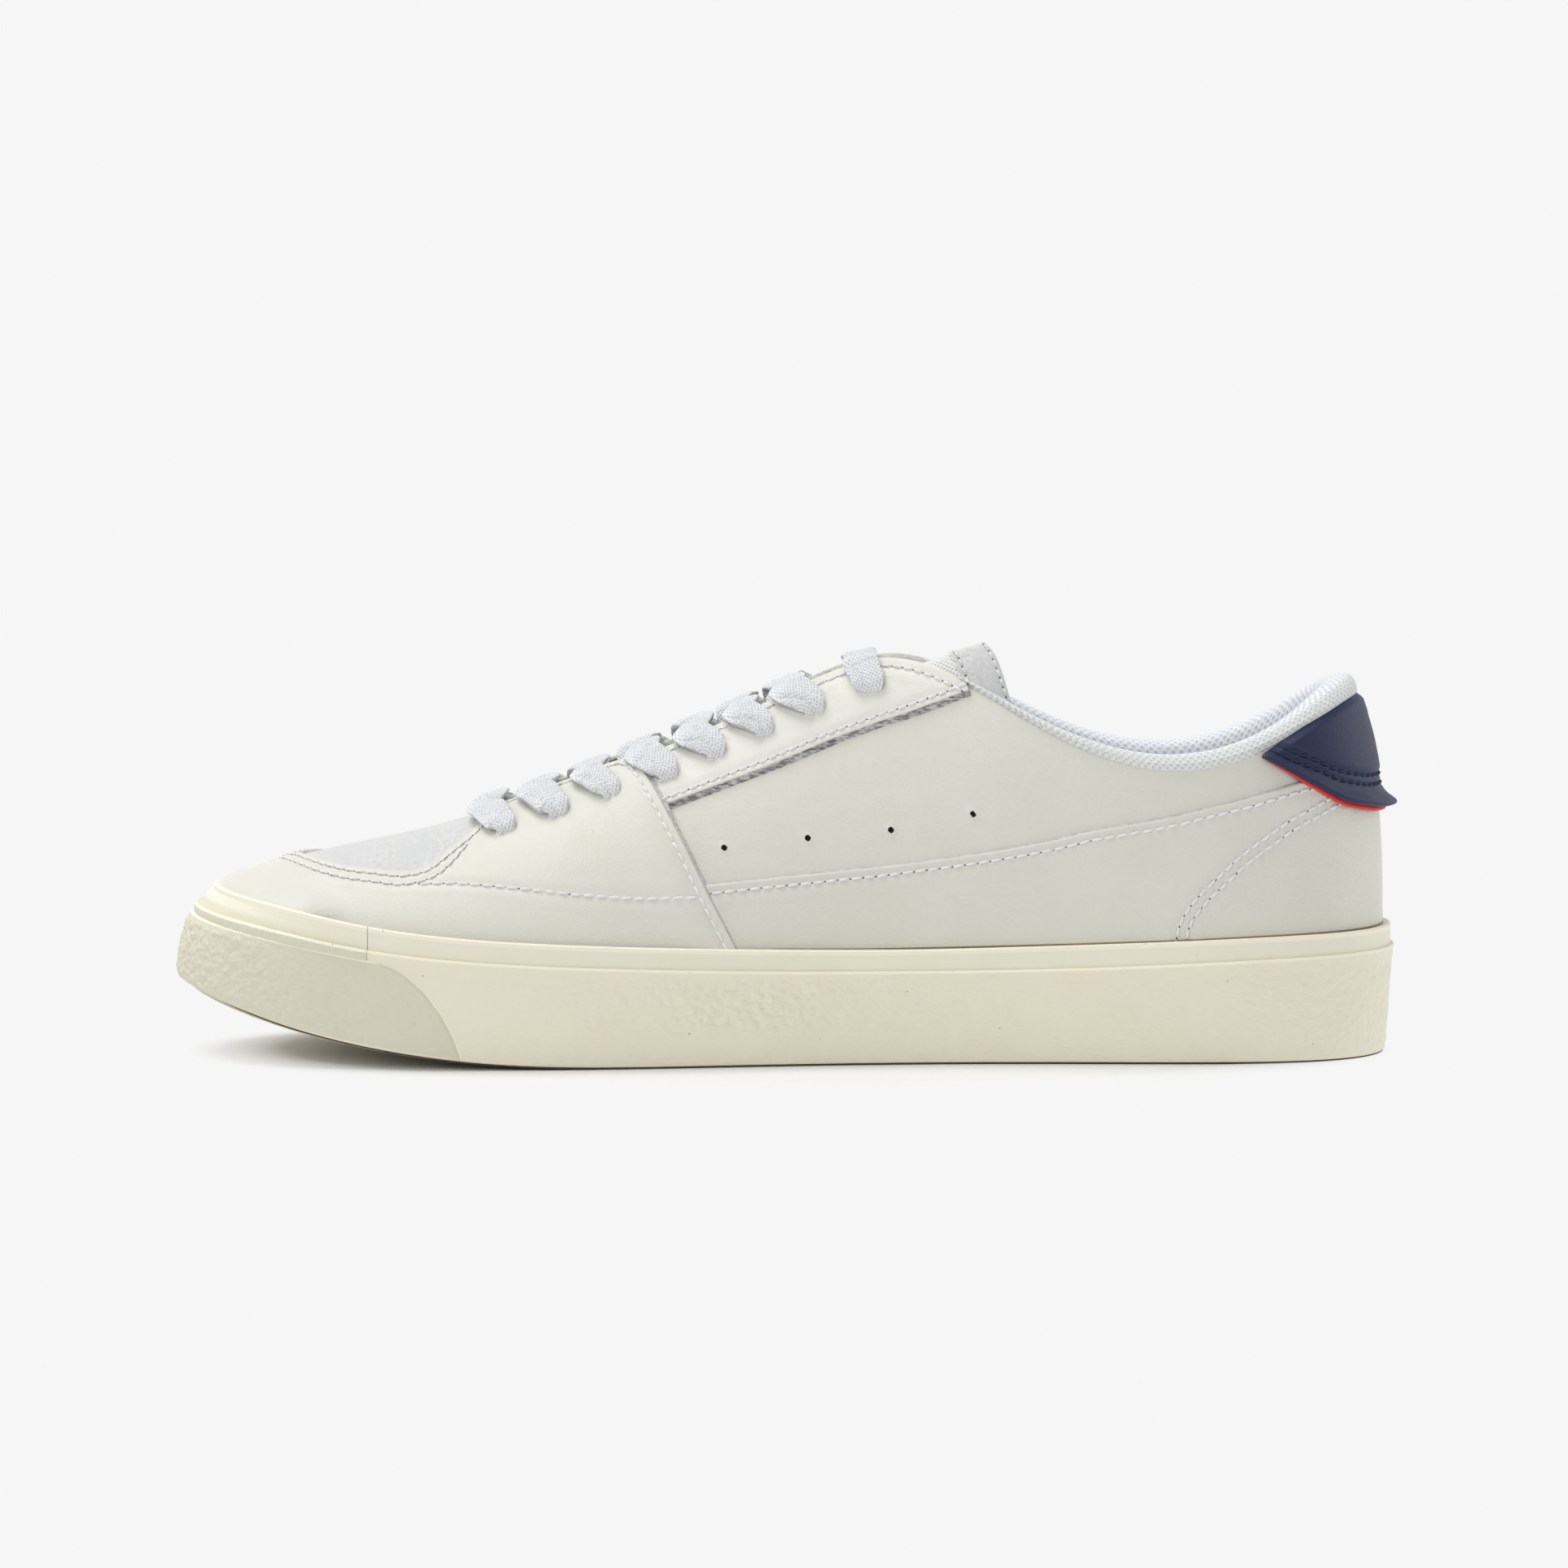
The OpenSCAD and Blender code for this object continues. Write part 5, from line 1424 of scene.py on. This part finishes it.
lining_sheet("vamp_lining", vamp_kv, (MEDIAL, LATERAL))


# ---- footbed ----
def make_footbed():
    """A foam bed with a cloth top that rises towards its rim at the heel and the arch."""
    around = np.linspace(0, LOOP_N, 260, endpoint=False)
    toe = 5 * smooth_step(95, 150, -(outline(around)[:, 0] - MIDDLE_X) / RATIO_X)
    rim = outline(around, 10.9 + toe)
    x = np.clip(rim[:, 0], -118, 112)
    medial, lateral = outline(np.linspace(0, HEEL_K, 300)), outline(np.linspace(HEEL_K, LOOP_N, 300))
    low_y = np.interp(x, medial[:, 0], medial[:, 1])
    high_y = np.interp(x, lateral[::-1, 0], lateral[::-1, 1])
    spine = np.stack([x, (low_y + high_y) / 2], 1)
    bottom, full = 2.35, 5.05
    levels = [(0.0, bottom + 0.2), (0.0, bottom + 4.2), (0.012, bottom + 4.85), (0.04, bottom + full)]
    levels += [(s, bottom + full) for s in (0.09, 0.16, 0.25, 0.36, 0.48, 0.6, 0.72, 0.84, 0.93, 1.0)]
    rings = []
    for s, height in levels:
        p = rim + (spine - rim) * s
        dish = 0
        if height > bottom + 4:
            dish = 2.0 * (1 - smooth_step(0.0, 0.5, s)) * smooth_step(-30, 60, rim[:, 0])
        soft = np.array([0.25 * noise.noise((q[0] * 0.03, q[1] * 0.03, 5.0)) for q in p]) if s > 0 else 0
        z = line_z(FEATHER_LINE, p[:, 0]) + height + dish * min(1, max(0, (height - bottom) / 5)) + soft
        rings.append(np.concatenate([p, z[:, None]], 1))
    under = np.concatenate(
        [rim + (spine - rim) * 0.5, (line_z(FEATHER_LINE, rim[:, 0]) + bottom + 0.2)[:, None]], 1,
    )
    flat = np.concatenate([spine, (line_z(FEATHER_LINE, spine[:, 0]) + bottom + 0.2)[:, None]], 1)
    grid = np.stack([flat, under] + rings, 0)
    rows, cols = grid.shape[:2]
    points = grid.reshape(-1, 3)
    faces = outward(points, grid_faces(rows, cols, 0, False, True))
    kinds = [1 if min(f) // cols < 4 else 0 for f in faces]
    obj = new_mesh("footbed", points, faces, [TEXTILE, FOAM], kinds, "footbed", points[:, :2])
    weld(obj)
    finish_piece(obj, ["footbed_foam", "footbed_cover"])


WELD_DISTANCE = 0.02


def weld(obj):
    """Points that lie on one another become one."""
    bm = bmesh.new()
    bm.from_mesh(obj.data)
    bmesh.ops.remove_doubles(bm, verts=bm.verts, dist=WELD_DISTANCE * MM)
    bm.to_mesh(obj.data)
    bm.free()


FOAM = plain("foam_edge", (238, 232, 205), 0.9, 0.25, 2.0)
make_footbed()

# ---- tongue ----
TONGUE_HI, TONGUE_LO = -4.4, -8.8
# From the last eyelet to the tip: forward and up in mm, and the share of its width
TONGUE_STEPS = [(0, 0, 1), (7, 2.6, 0.94), (14, 5, 0.87), (21, 7.2, 0.8), (28, 9.2, 0.74)]
TONGUE_K0, TONGUE_K1 = 4.45, 8.0


def tongue_points(rows, across, off):
    """rows from 0 to 1 up to the last eyelet, then to 2 at the tip; across from -1 medial to 1 lateral."""
    rows, across, off = np.broadcast_arrays(
        np.asarray(rows, float), np.asarray(across, float), np.asarray(off, float),
    )
    k = blend_to(TONGUE_K0, TONGUE_K1, np.clip(rows, 0, 1))
    low = blend_to(0.73, 0.68, (k - TONGUE_K0) / (TONGUE_K1 - TONGUE_K0))
    v = 1 - np.abs(across) * (1 - low)
    near, far = skin(k, v, MEDIAL, off), skin(k, v, LATERAL, off)
    p = np.where((across < 0)[..., None], near, far)
    step = through(TONGUE_STEPS, np.clip(rows - 1, 0, 1))
    middle = MIDDLE_Y + ORIGIN_Y * RATIO_Y
    droop = np.abs(p[..., 1] - middle) / 22
    x = p[..., 0] + (step[..., 0] + droop**2 * 0.26 * step[..., 0]) * RATIO_X
    y = middle + (p[..., 1] - middle) * step[..., 2]
    z = p[..., 2] + step[..., 1] - droop**2 * step[..., 0] * 0.12
    return np.stack([x, y, z], -1)


def tongue_piece(
    name, row0, row1, count, hi, lo, mats, nodes, edge=0.05, puff=0.0, tip=True,
):
    """A layer of the tongue that thins to its sides and, with a tip, to its free end."""
    rows = np.linspace(row0, row1, count)
    across = np.sin(np.linspace(-1, 1, 61) * math.pi / 2)
    middle = (hi + lo) / 2
    ends = np.ones(count)
    if tip:
        ends = np.sqrt(np.clip(1 - np.clip((rows - row1 + 0.05) / 0.05, 0, 1) ** 2, 0.02, 1))
    sides = np.sqrt(np.clip(1 - np.clip((np.abs(across) - 1 + edge) / edge, 0, 1) ** 2, 0.02, 1))
    thick = ends[:, None] * sides[None, :]
    r, a = np.meshgrid(rows, across, indexing="ij")
    swell = puff * (0.5 + 0.5 * np.sin(r * 5.0)) * (1 - a * a)
    outer = tongue_points(r, a, middle + (hi - middle) * thick + swell)
    inner = tongue_points(r, a, middle + (lo - middle) * thick)
    finish_piece(closed_sheet(name, outer, inner, mats, "tongue", grid_uv(outer)), nodes)


TONGUE_SKIN = knit("tongue_textile", (242, 242, 240), (208, 209, 208), 0.95, 0.16, 0.2)
tongue_piece("tongue_pad", 0.0, 1.94, 150, TONGUE_HI, TONGUE_LO, [TONGUE_SKIN],
             ["tongue_shell", "tongue_foam", "tongue_lining"], puff=0.25)
tongue_piece(
    "tongue_tip", 1.66, 2.0, 40, TONGUE_HI + 0.9, TONGUE_LO - 0.5, [SUEDE], ["tongue_tip"],
    edge=0.04,
)
tongue_piece(
    "tongue_label", 0.87, 0.96, 14, TONGUE_LO - 0.1, TONGUE_LO - 0.6, [LABEL], ["tongue_label"],
    edge=0.02, tip=False,
)


def label_patch():
    """A plain woven label laid over the tongue between the fifth and the seventh eyelets."""
    r, a = np.meshgrid(np.linspace(0.44, 0.62, 20), np.linspace(-0.98, 0.6, 40), indexing="ij")
    outer = tongue_points(r, a, TONGUE_HI + 0.9 + 0.3 * np.sin(a * 9))
    inner = tongue_points(r, a, TONGUE_HI + 0.45 + 0.3 * np.sin(a * 9))
    finish_piece(closed_sheet("tongue_top_label", outer, inner, [LABEL], "tongue"))


label_patch()
tongue_stitches = Stitching("stitches_tongue", THREAD, NEEDLE_HOLE_SHADE, 0.32)
for row, half, off in ((1.655, 0.96, 0.05), (1.7, 0.93, 0.9), (1.955, 0.93, 0.9)):
    a = np.linspace(-half, half, 60)
    path = tongue_points(row, a, TONGUE_HI + off)
    tongue_stitches.row(path, tongue_points(row, a, TONGUE_HI + off + 1) - path, 2.6)
tongue_stitches.build("tongue")


# ---- heel tab: a navy flap with a lip that curls out, over a red under-piece ----
def lip_reach(k):
    """How far the lip stands out."""
    return 1.0 + 2.5 * smooth_step(12.2, 13.5, k)


def tab_grid(edge_curve, top_curve, profile, count=120, rows=46):
    """profile(k, d, to_top) gives outer and inner offsets at a distance d in mm from the lower edge."""
    u = np.linspace(0, 1, count)
    low, high = through(edge_curve, u), through(top_curve, u)
    steps_up = np.concatenate([np.linspace(0, 0.1, 12)[:-1], np.linspace(0.1, 1, rows - 11)])
    sides = []
    for side in (MEDIAL, LATERAL):
        kv = low[:, None, :] + (high - low)[:, None, :] * steps_up[None, :, None]
        k, v = kv[..., 0], kv[..., 1]
        p, n = base_point(k, v, side), base_normal(k, v, side)
        d = run_of(np.moveaxis(p, 1, 0)).T
        outer, inner = profile(k, d, d[:, -1:] - d)
        sides.append((p + outer[..., None] * n, p + inner[..., None] * n))
    return [joined(halves) for halves in zip(*sides)]


TAB_TOP = [(12.06, 0.962), (12.35, 0.972), (12.7, 0.975), (13.1, 0.972), (13.55, 0.965), (14, 0.958)]
TAB_BASE = 4.9
TAB_ROW_GAP = 2.2


def stitch_depth(k):
    """Distance of the tab's two stitch rows above its lip."""
    return 3.0 + 2.6 * smooth_step(12.0, 12.9, k)


def tab_profile(k, d, to_top):
    """A rounded lip that curls out, a dent along each stitch row, and a soft bulge above them."""
    reach = lip_reach(k)
    low = stitch_depth(k)
    curl = np.exp(-((d / (0.48 * low)) ** 2))
    roll = np.clip(d / 1.25, 0, 1)
    round_off = 1.25 * (1 - np.sqrt(np.clip(1 - (1 - roll) ** 2, 0, 1)))
    seam = sum(0.55 * np.exp(-(((d - low - extra) / 0.8) ** 2)) for extra in (0.0, TAB_ROW_GAP))
    bulge = 0.5 * np.clip((d - low - TAB_ROW_GAP) / 9, 0, 1) ** 0.7 * np.clip(to_top / 5, 0, 1)
    lean_in = 0.9 * np.clip((d - low - 4) / 12, 0, 1)
    outer = TAB_BASE + reach * curl - round_off - seam + bulge + 0.25 * curl - lean_in
    thick = 1.2 + 1.5 * np.exp(-((d / 3.2) ** 2))
    inner = np.minimum(TAB_BASE + reach * curl + 0.25 * curl - thick + round_off * 0.9, outer - 0.25)
    tuck = 1.5 * (1 - np.clip(to_top / 2.0, 0, 1))
    return outer - tuck, inner - tuck


outer, inner = tab_grid(TAB_EDGE, TAB_TOP, tab_profile)
# The tab's cut edges take the lighter navy, partly wear and partly a painted highlight
tab = closed_sheet("heel_tab", outer, inner, [NAVY, NAVY_EDGE_HIGHLIGHT])
finish_piece(tab, ["heel_tab"])


def underlay_profile(k, d, to_top):
    """The red piece shows below the lip and runs in under the tab."""
    flare = 0.28 * lip_reach(k) * np.exp(-((d / 3.0) ** 2)) * smooth_step(12.0, 12.9, k)
    roll = 0.5 * (1 - np.sqrt(np.clip(1 - (1 - np.clip(d / 0.6, 0, 1)) ** 2, 0, 1)))
    outer = 4.5 + flare - roll - 1.3 * smooth_step(1.2, 4.2, d)
    return outer, outer - 0.6 + roll


edge_kv = even(TAB_EDGE, 1.0)
along_edge = np.linspace(0, 1, len(edge_kv))[:, None]
tab_low = edge_kv - np.array([0.0, 0.012]) * smooth_step(0, 0.3, along_edge)
under_high = edge_kv + np.array([0.0, 0.09]) * smooth_step(0, 0.2, along_edge)
outer, inner = tab_grid(tab_low[::3], under_high[::3], underlay_profile, rows=24)
underlay = closed_sheet("heel_tab_underlay", outer, inner, [RED])
finish_piece(underlay, ["heel_tab_underlay"])

tab_stitches = Stitching("stitches_tab", THREAD_NAVY, NAVY_EDGE_HIGHLIGHT, 0.4)
for side in (MEDIAL, LATERAL):
    for extra in (0.0, TAB_ROW_GAP):
        path, up = [], []
        u = np.linspace(0.05, 1, 160)
        for a, b in zip(through(TAB_EDGE, u), through(TAB_TOP, u)):
            kv = a + (b - a) * np.linspace(0, 1, 60)[:, None]
            p = base_point(kv[:, 0], kv[:, 1], side)
            d = run_of(p)
            want = stitch_depth(a[0]) + extra
            if want > d[-1] - 0.5:
                continue
            at = np.array([[np.interp(want, d, kv[:, 0]), np.interp(want, d, kv[:, 1])]])
            n = base_normal(at[:, 0], at[:, 1], side)[0]
            off = tab_profile(at[:, 0], np.array([want]), np.array([d[-1] - want]))[0][0]
            path.append(base_point(at[:, 0], at[:, 1], side)[0] + n * (off + 0.05))
            up.append(n)
        tab_stitches.row(np.array(path), np.array(up), 2.9, slant=0.2)
tab_stitches.build()
ticks = Stitching("stitches_underlay", plain("tick_thread", (52, 34, 44), 0.8), NEEDLE_HOLE_SHADE, 0.2)
for side in (MEDIAL, LATERAL):
    for i in range(7, len(edge_kv) - 1, 3):
        kv = tab_low[i] + np.array([[0.0, 0.026], [0.0, 0.012]])
        n = base_normal(kv[:, 0], kv[:, 1], side)
        off = underlay_profile(kv[:, 0], np.array([2.1, 1.0]), np.array([5.0, 5.0]))[0]
        ticks.row(base_point(kv[:, 0], kv[:, 1], side) + (off[:, None] + 0.12) * n, n, 5.0, holes=False)
ticks.build()

# ---- lace ----
EYELETS = [
    (4.38, 0.7), (4.86, 0.7), (5.34, 0.705), (5.86, 0.712), (6.32, 0.745), (6.8, 0.775), (7.31, 0.8),
    (7.95, 0.85),
]
THROAT = np.array([
    (4.15, 0.93), (4.6, 0.91), (5.1, 0.87), (5.55, 0.84), (6, 0.84), (6.5, 0.86), (7, 0.885), (7.56, 0.92),
    (7.95, 0.955),
    (8.3, 0.99),
])
LACE_W, LACE_T = 8.7, 1.9
LACE_OVER, LACE_UNDER = 5.3, -2.75
LACE_END = (5.75, 0.44)
# The crossings whose lower edge is rolled over
ROLLED = (1, 2, 4, 5, 6)
RING_STEP, RING_POINTS = 0.42, 62


def throat_v(k):
    return float(np.interp(k, THROAT[:, 0], THROAT[:, 1]))


def lace_route(first_side, high):
    """Rows of station, height, side, offset, width, thickness, tucked, roll place, roll depth."""
    made = []
    for i, (k, v) in enumerate(EYELETS):
        side = first_side if i % 2 == 0 else -first_side
        top = throat_v(k)
        roll = 0.75 if i in ROLLED else 0.25
        last = i == len(EYELETS) - 1
        w = LACE_W * (0.98 + 0.07 * math.sin(i * 2.3))
        lean = 0.03 if last else 0.17
        blunt = 1.3 if last else 1.0
        made += [
            (k - lean, v + (top - v) * 0.8, side, LACE_OVER + 0.5, w * 1.04, LACE_T, 0, -0.95, roll * 0.7),
            (
                k - lean * 0.62, v + (top - v) * 0.45, side, LACE_OVER + 0.6, w * 1.05, LACE_T * 1.15, 0,
                -0.6, roll,
            ),
            (k - lean * 0.2, v + 0.016, side, LACE_OVER + 0.55, w * 0.96, LACE_T * 1.25, 0, -0.3, roll),
            (
                k + lean * 0.08, v - 0.012, side, LACE_OVER + 0.3, w * min(1, 0.86 * blunt), LACE_T * 1.3, 0,
                -0.12, roll,
            ),
            (k + lean * 0.2, v - 0.032, side, LACE_OVER - 0.2, w * 0.68 * blunt, LACE_T * 1.25, 0, 0, roll),
            (k + lean * 0.2, v - 0.044, side, LACE_OVER - 1.3, w * 0.5 * blunt, LACE_T, 0, 0, 0.2),
            (k, v - 0.034, side, 2.2, 4.6, LACE_T * 0.9, 0, 0, 0),
            (k, v, side, -1.0, 3.4, LACE_T, 0, 0, 0),
        ]
        if not last:
            level = 3.4 if high else 0.9
            made += [
                (k + 0.01, v + 0.006, side, LACE_UNDER + 0.3, 3.7, LACE_T * 0.8, 0, 0, 0),
                (k + 0.05, v + 0.032, side, LACE_UNDER, 5, LACE_T * 0.8, 0, 0, 0),
            ]
            if i == len(EYELETS) - 2:
                made += [
                    (k + 0.18, 0.9, side, LACE_UNDER, 6.6, LACE_T * 0.8, 0, 0, 0),
                    (k + 0.4, 0.965, side, LACE_UNDER, 7.2, LACE_T * 0.8, 0, 0, 0),
                    (k + 0.58, 1.0, side, -1.6, LACE_W * 0.9, LACE_T, 0, 0, 0.1),
                    (k + 0.63, 1.0, -side, 2.6, LACE_W * 0.96, LACE_T, 0, -0.9, 0.2),
                ]
            else:
                under = throat_v(k + 0.16)
                made += [
                    (k + 0.14, v + (under - v) * 0.75, side, LACE_UNDER, 6.8, LACE_T * 0.8, 0, 0, 0),
                    (k + 0.19, throat_v(k + 0.2) + 0.035, side, -1.2, 7.2, LACE_T * 0.8, 0, 0, 0),
                    (k + 0.25, 0.985, side, level, LACE_W * 0.94, LACE_T, 0, 0, 0.1),
                    (
                        k + 0.36, 0.95, -side, (3.6 if high else 3.2) + 0.4, LACE_W * 0.97, LACE_T, 0, -0.9,
                        0.2,
                    ),
                ]
        else:
            for q in (
                (7.95, 0.835, LACE_UNDER + 0.3, 3.7, 0), (7.9, 0.8, LACE_UNDER, 4.8, 0.3),
                (7.75, 0.72, LACE_UNDER, 6.4, 0.8),
                (7.5, 0.65, LACE_UNDER, 8, 1), (7.15, 0.58, LACE_UNDER, 8, 1), (6.75, 0.53, LACE_UNDER, 8, 1),
                (6.3, 0.48, LACE_UNDER, 6.4, 1), (*LACE_END, LACE_UNDER, 3, 1),
            ):
                made.append((q[0], q[1], side, q[2], q[3], LACE_T * 0.8, q[4], 0, 0))
    return made


def make_lace():
    """One flat braided lace: a soft rectangle in section, carried along the route, with a rolled edge."""
    half_a, half_b = lace_route(LATERAL, False), lace_route(MEDIAL, True)
    bar = [(EYELETS[0][0] - 0.1, 1, MEDIAL, LACE_OVER + 0.5, LACE_W, LACE_T, 0, -0.9, 0.2)]
    route = np.array(half_a[::-1] + bar + half_b, float)
    middle = len(half_a)
    count = len(route)
    xyz = np.array([skin(q[0], q[1], int(q[2]), q[3]) for q in route])
    wides = np.zeros((count, 3))
    for i, q in enumerate(route):
        side = int(q[2])
        travel = -1 if i < middle else 1
        ahead = xyz[min(i + 1, count - 1)] - xyz[max(i - 1, 0)]
        ahead /= np.linalg.norm(ahead)
        fore = base_point(q[0] + 0.05, q[1], side) - base_point(q[0] - 0.05, q[1], side)
        fore /= np.linalg.norm(fore)
        flat = -travel * side * np.cross(base_normal(q[0], q[1], side), ahead)
        wides[i] = fore + (flat - fore) * q[6]
    table = np.concatenate([xyz, wides, route[:, 3:]], 1)
    fine = through(table, np.linspace(0, 1, count * 24))
    run = run_of(fine[:, :3])
    at = np.arange(0, run[-1], RING_STEP)
    rings = np.stack([np.interp(at, run, fine[:, j]) for j in range(fine.shape[1])], 1)
    ahead = np.gradient(rings[:, :3], axis=0)
    ahead /= np.linalg.norm(ahead, axis=1, keepdims=True)
    wide = rings[:, 3:6] - (rings[:, 3:6] * ahead).sum(1)[:, None] * ahead
    wide /= np.linalg.norm(wide, axis=1, keepdims=True)
    thick = np.cross(ahead, wide)
    width, depth, roll_at, roll = rings[:, 7], rings[:, 8], rings[:, 10], rings[:, 11]
    a, s = np.linspace(0, 2 * math.pi, RING_POINTS, endpoint=False)[None, :], at[:, None]
    across = np.sign(np.cos(a)) * np.abs(np.cos(a)) ** 0.72
    up = np.sign(np.sin(a)) * np.abs(np.sin(a)) ** 0.8
    y = across * width[:, None] / 2
    valley = np.exp(-(((across - roll_at[:, None]) / 0.16) ** 2)) * np.minimum(1, roll[:, None] * 1.3)
    fat = 1 + 0.75 * roll[:, None] / (1 + np.exp((across - roll_at[:, None]) / 0.06))
    braid = 0.15 * np.sin(2 * math.pi * (s + np.abs(y) * 0.8) / 1.5) * np.cos(2 * math.pi * y / 2.3)
    height = up * (depth[:, None] / 2 * fat * (1 - 0.95 * valley) + braid * np.abs(up))
    points = rings[:, None, :3] + y[..., None] * wide[:, None, :] + height[..., None] * thick[:, None, :]
    uv = np.stack([np.repeat(s, RING_POINTS, 1), y + np.where(up < 0, 20.0, 0.0)], -1)
    points = points.reshape(-1, 3)
    faces = outward(points, tube_faces(len(at), RING_POINTS))
    finish_piece(new_mesh("lace", points, faces, [COTTON], uvs=uv.reshape(-1, 2)), ["lace"])


make_lace()

# ---- finishes of the CAD parts that are shown as they are ----
STIFFENER = plain("stiffener", (206, 200, 182), 0.7)
TAPE_CLOTH = plain("tape_cloth", (240, 240, 240), 0.9, 0.15, 3.0)
for node, mat in (
    ("outsole", SOLE), ("midsole_filler", plain("filler", (206, 200, 180), 0.9, 0.2)),
    ("lasting_board", plain("board", (186, 166, 132), 0.95, 0.2, 3.0)), ("toe_puff", STIFFENER),
    ("heel_counter", STIFFENER), ("eyelet_reinforcement_medial", TAPE_CLOTH),
    ("eyelet_reinforcement_lateral", TAPE_CLOTH), ("aglets", TIP),
):
    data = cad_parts[node].data
    data.materials.clear()
    data.materials.append(mat)
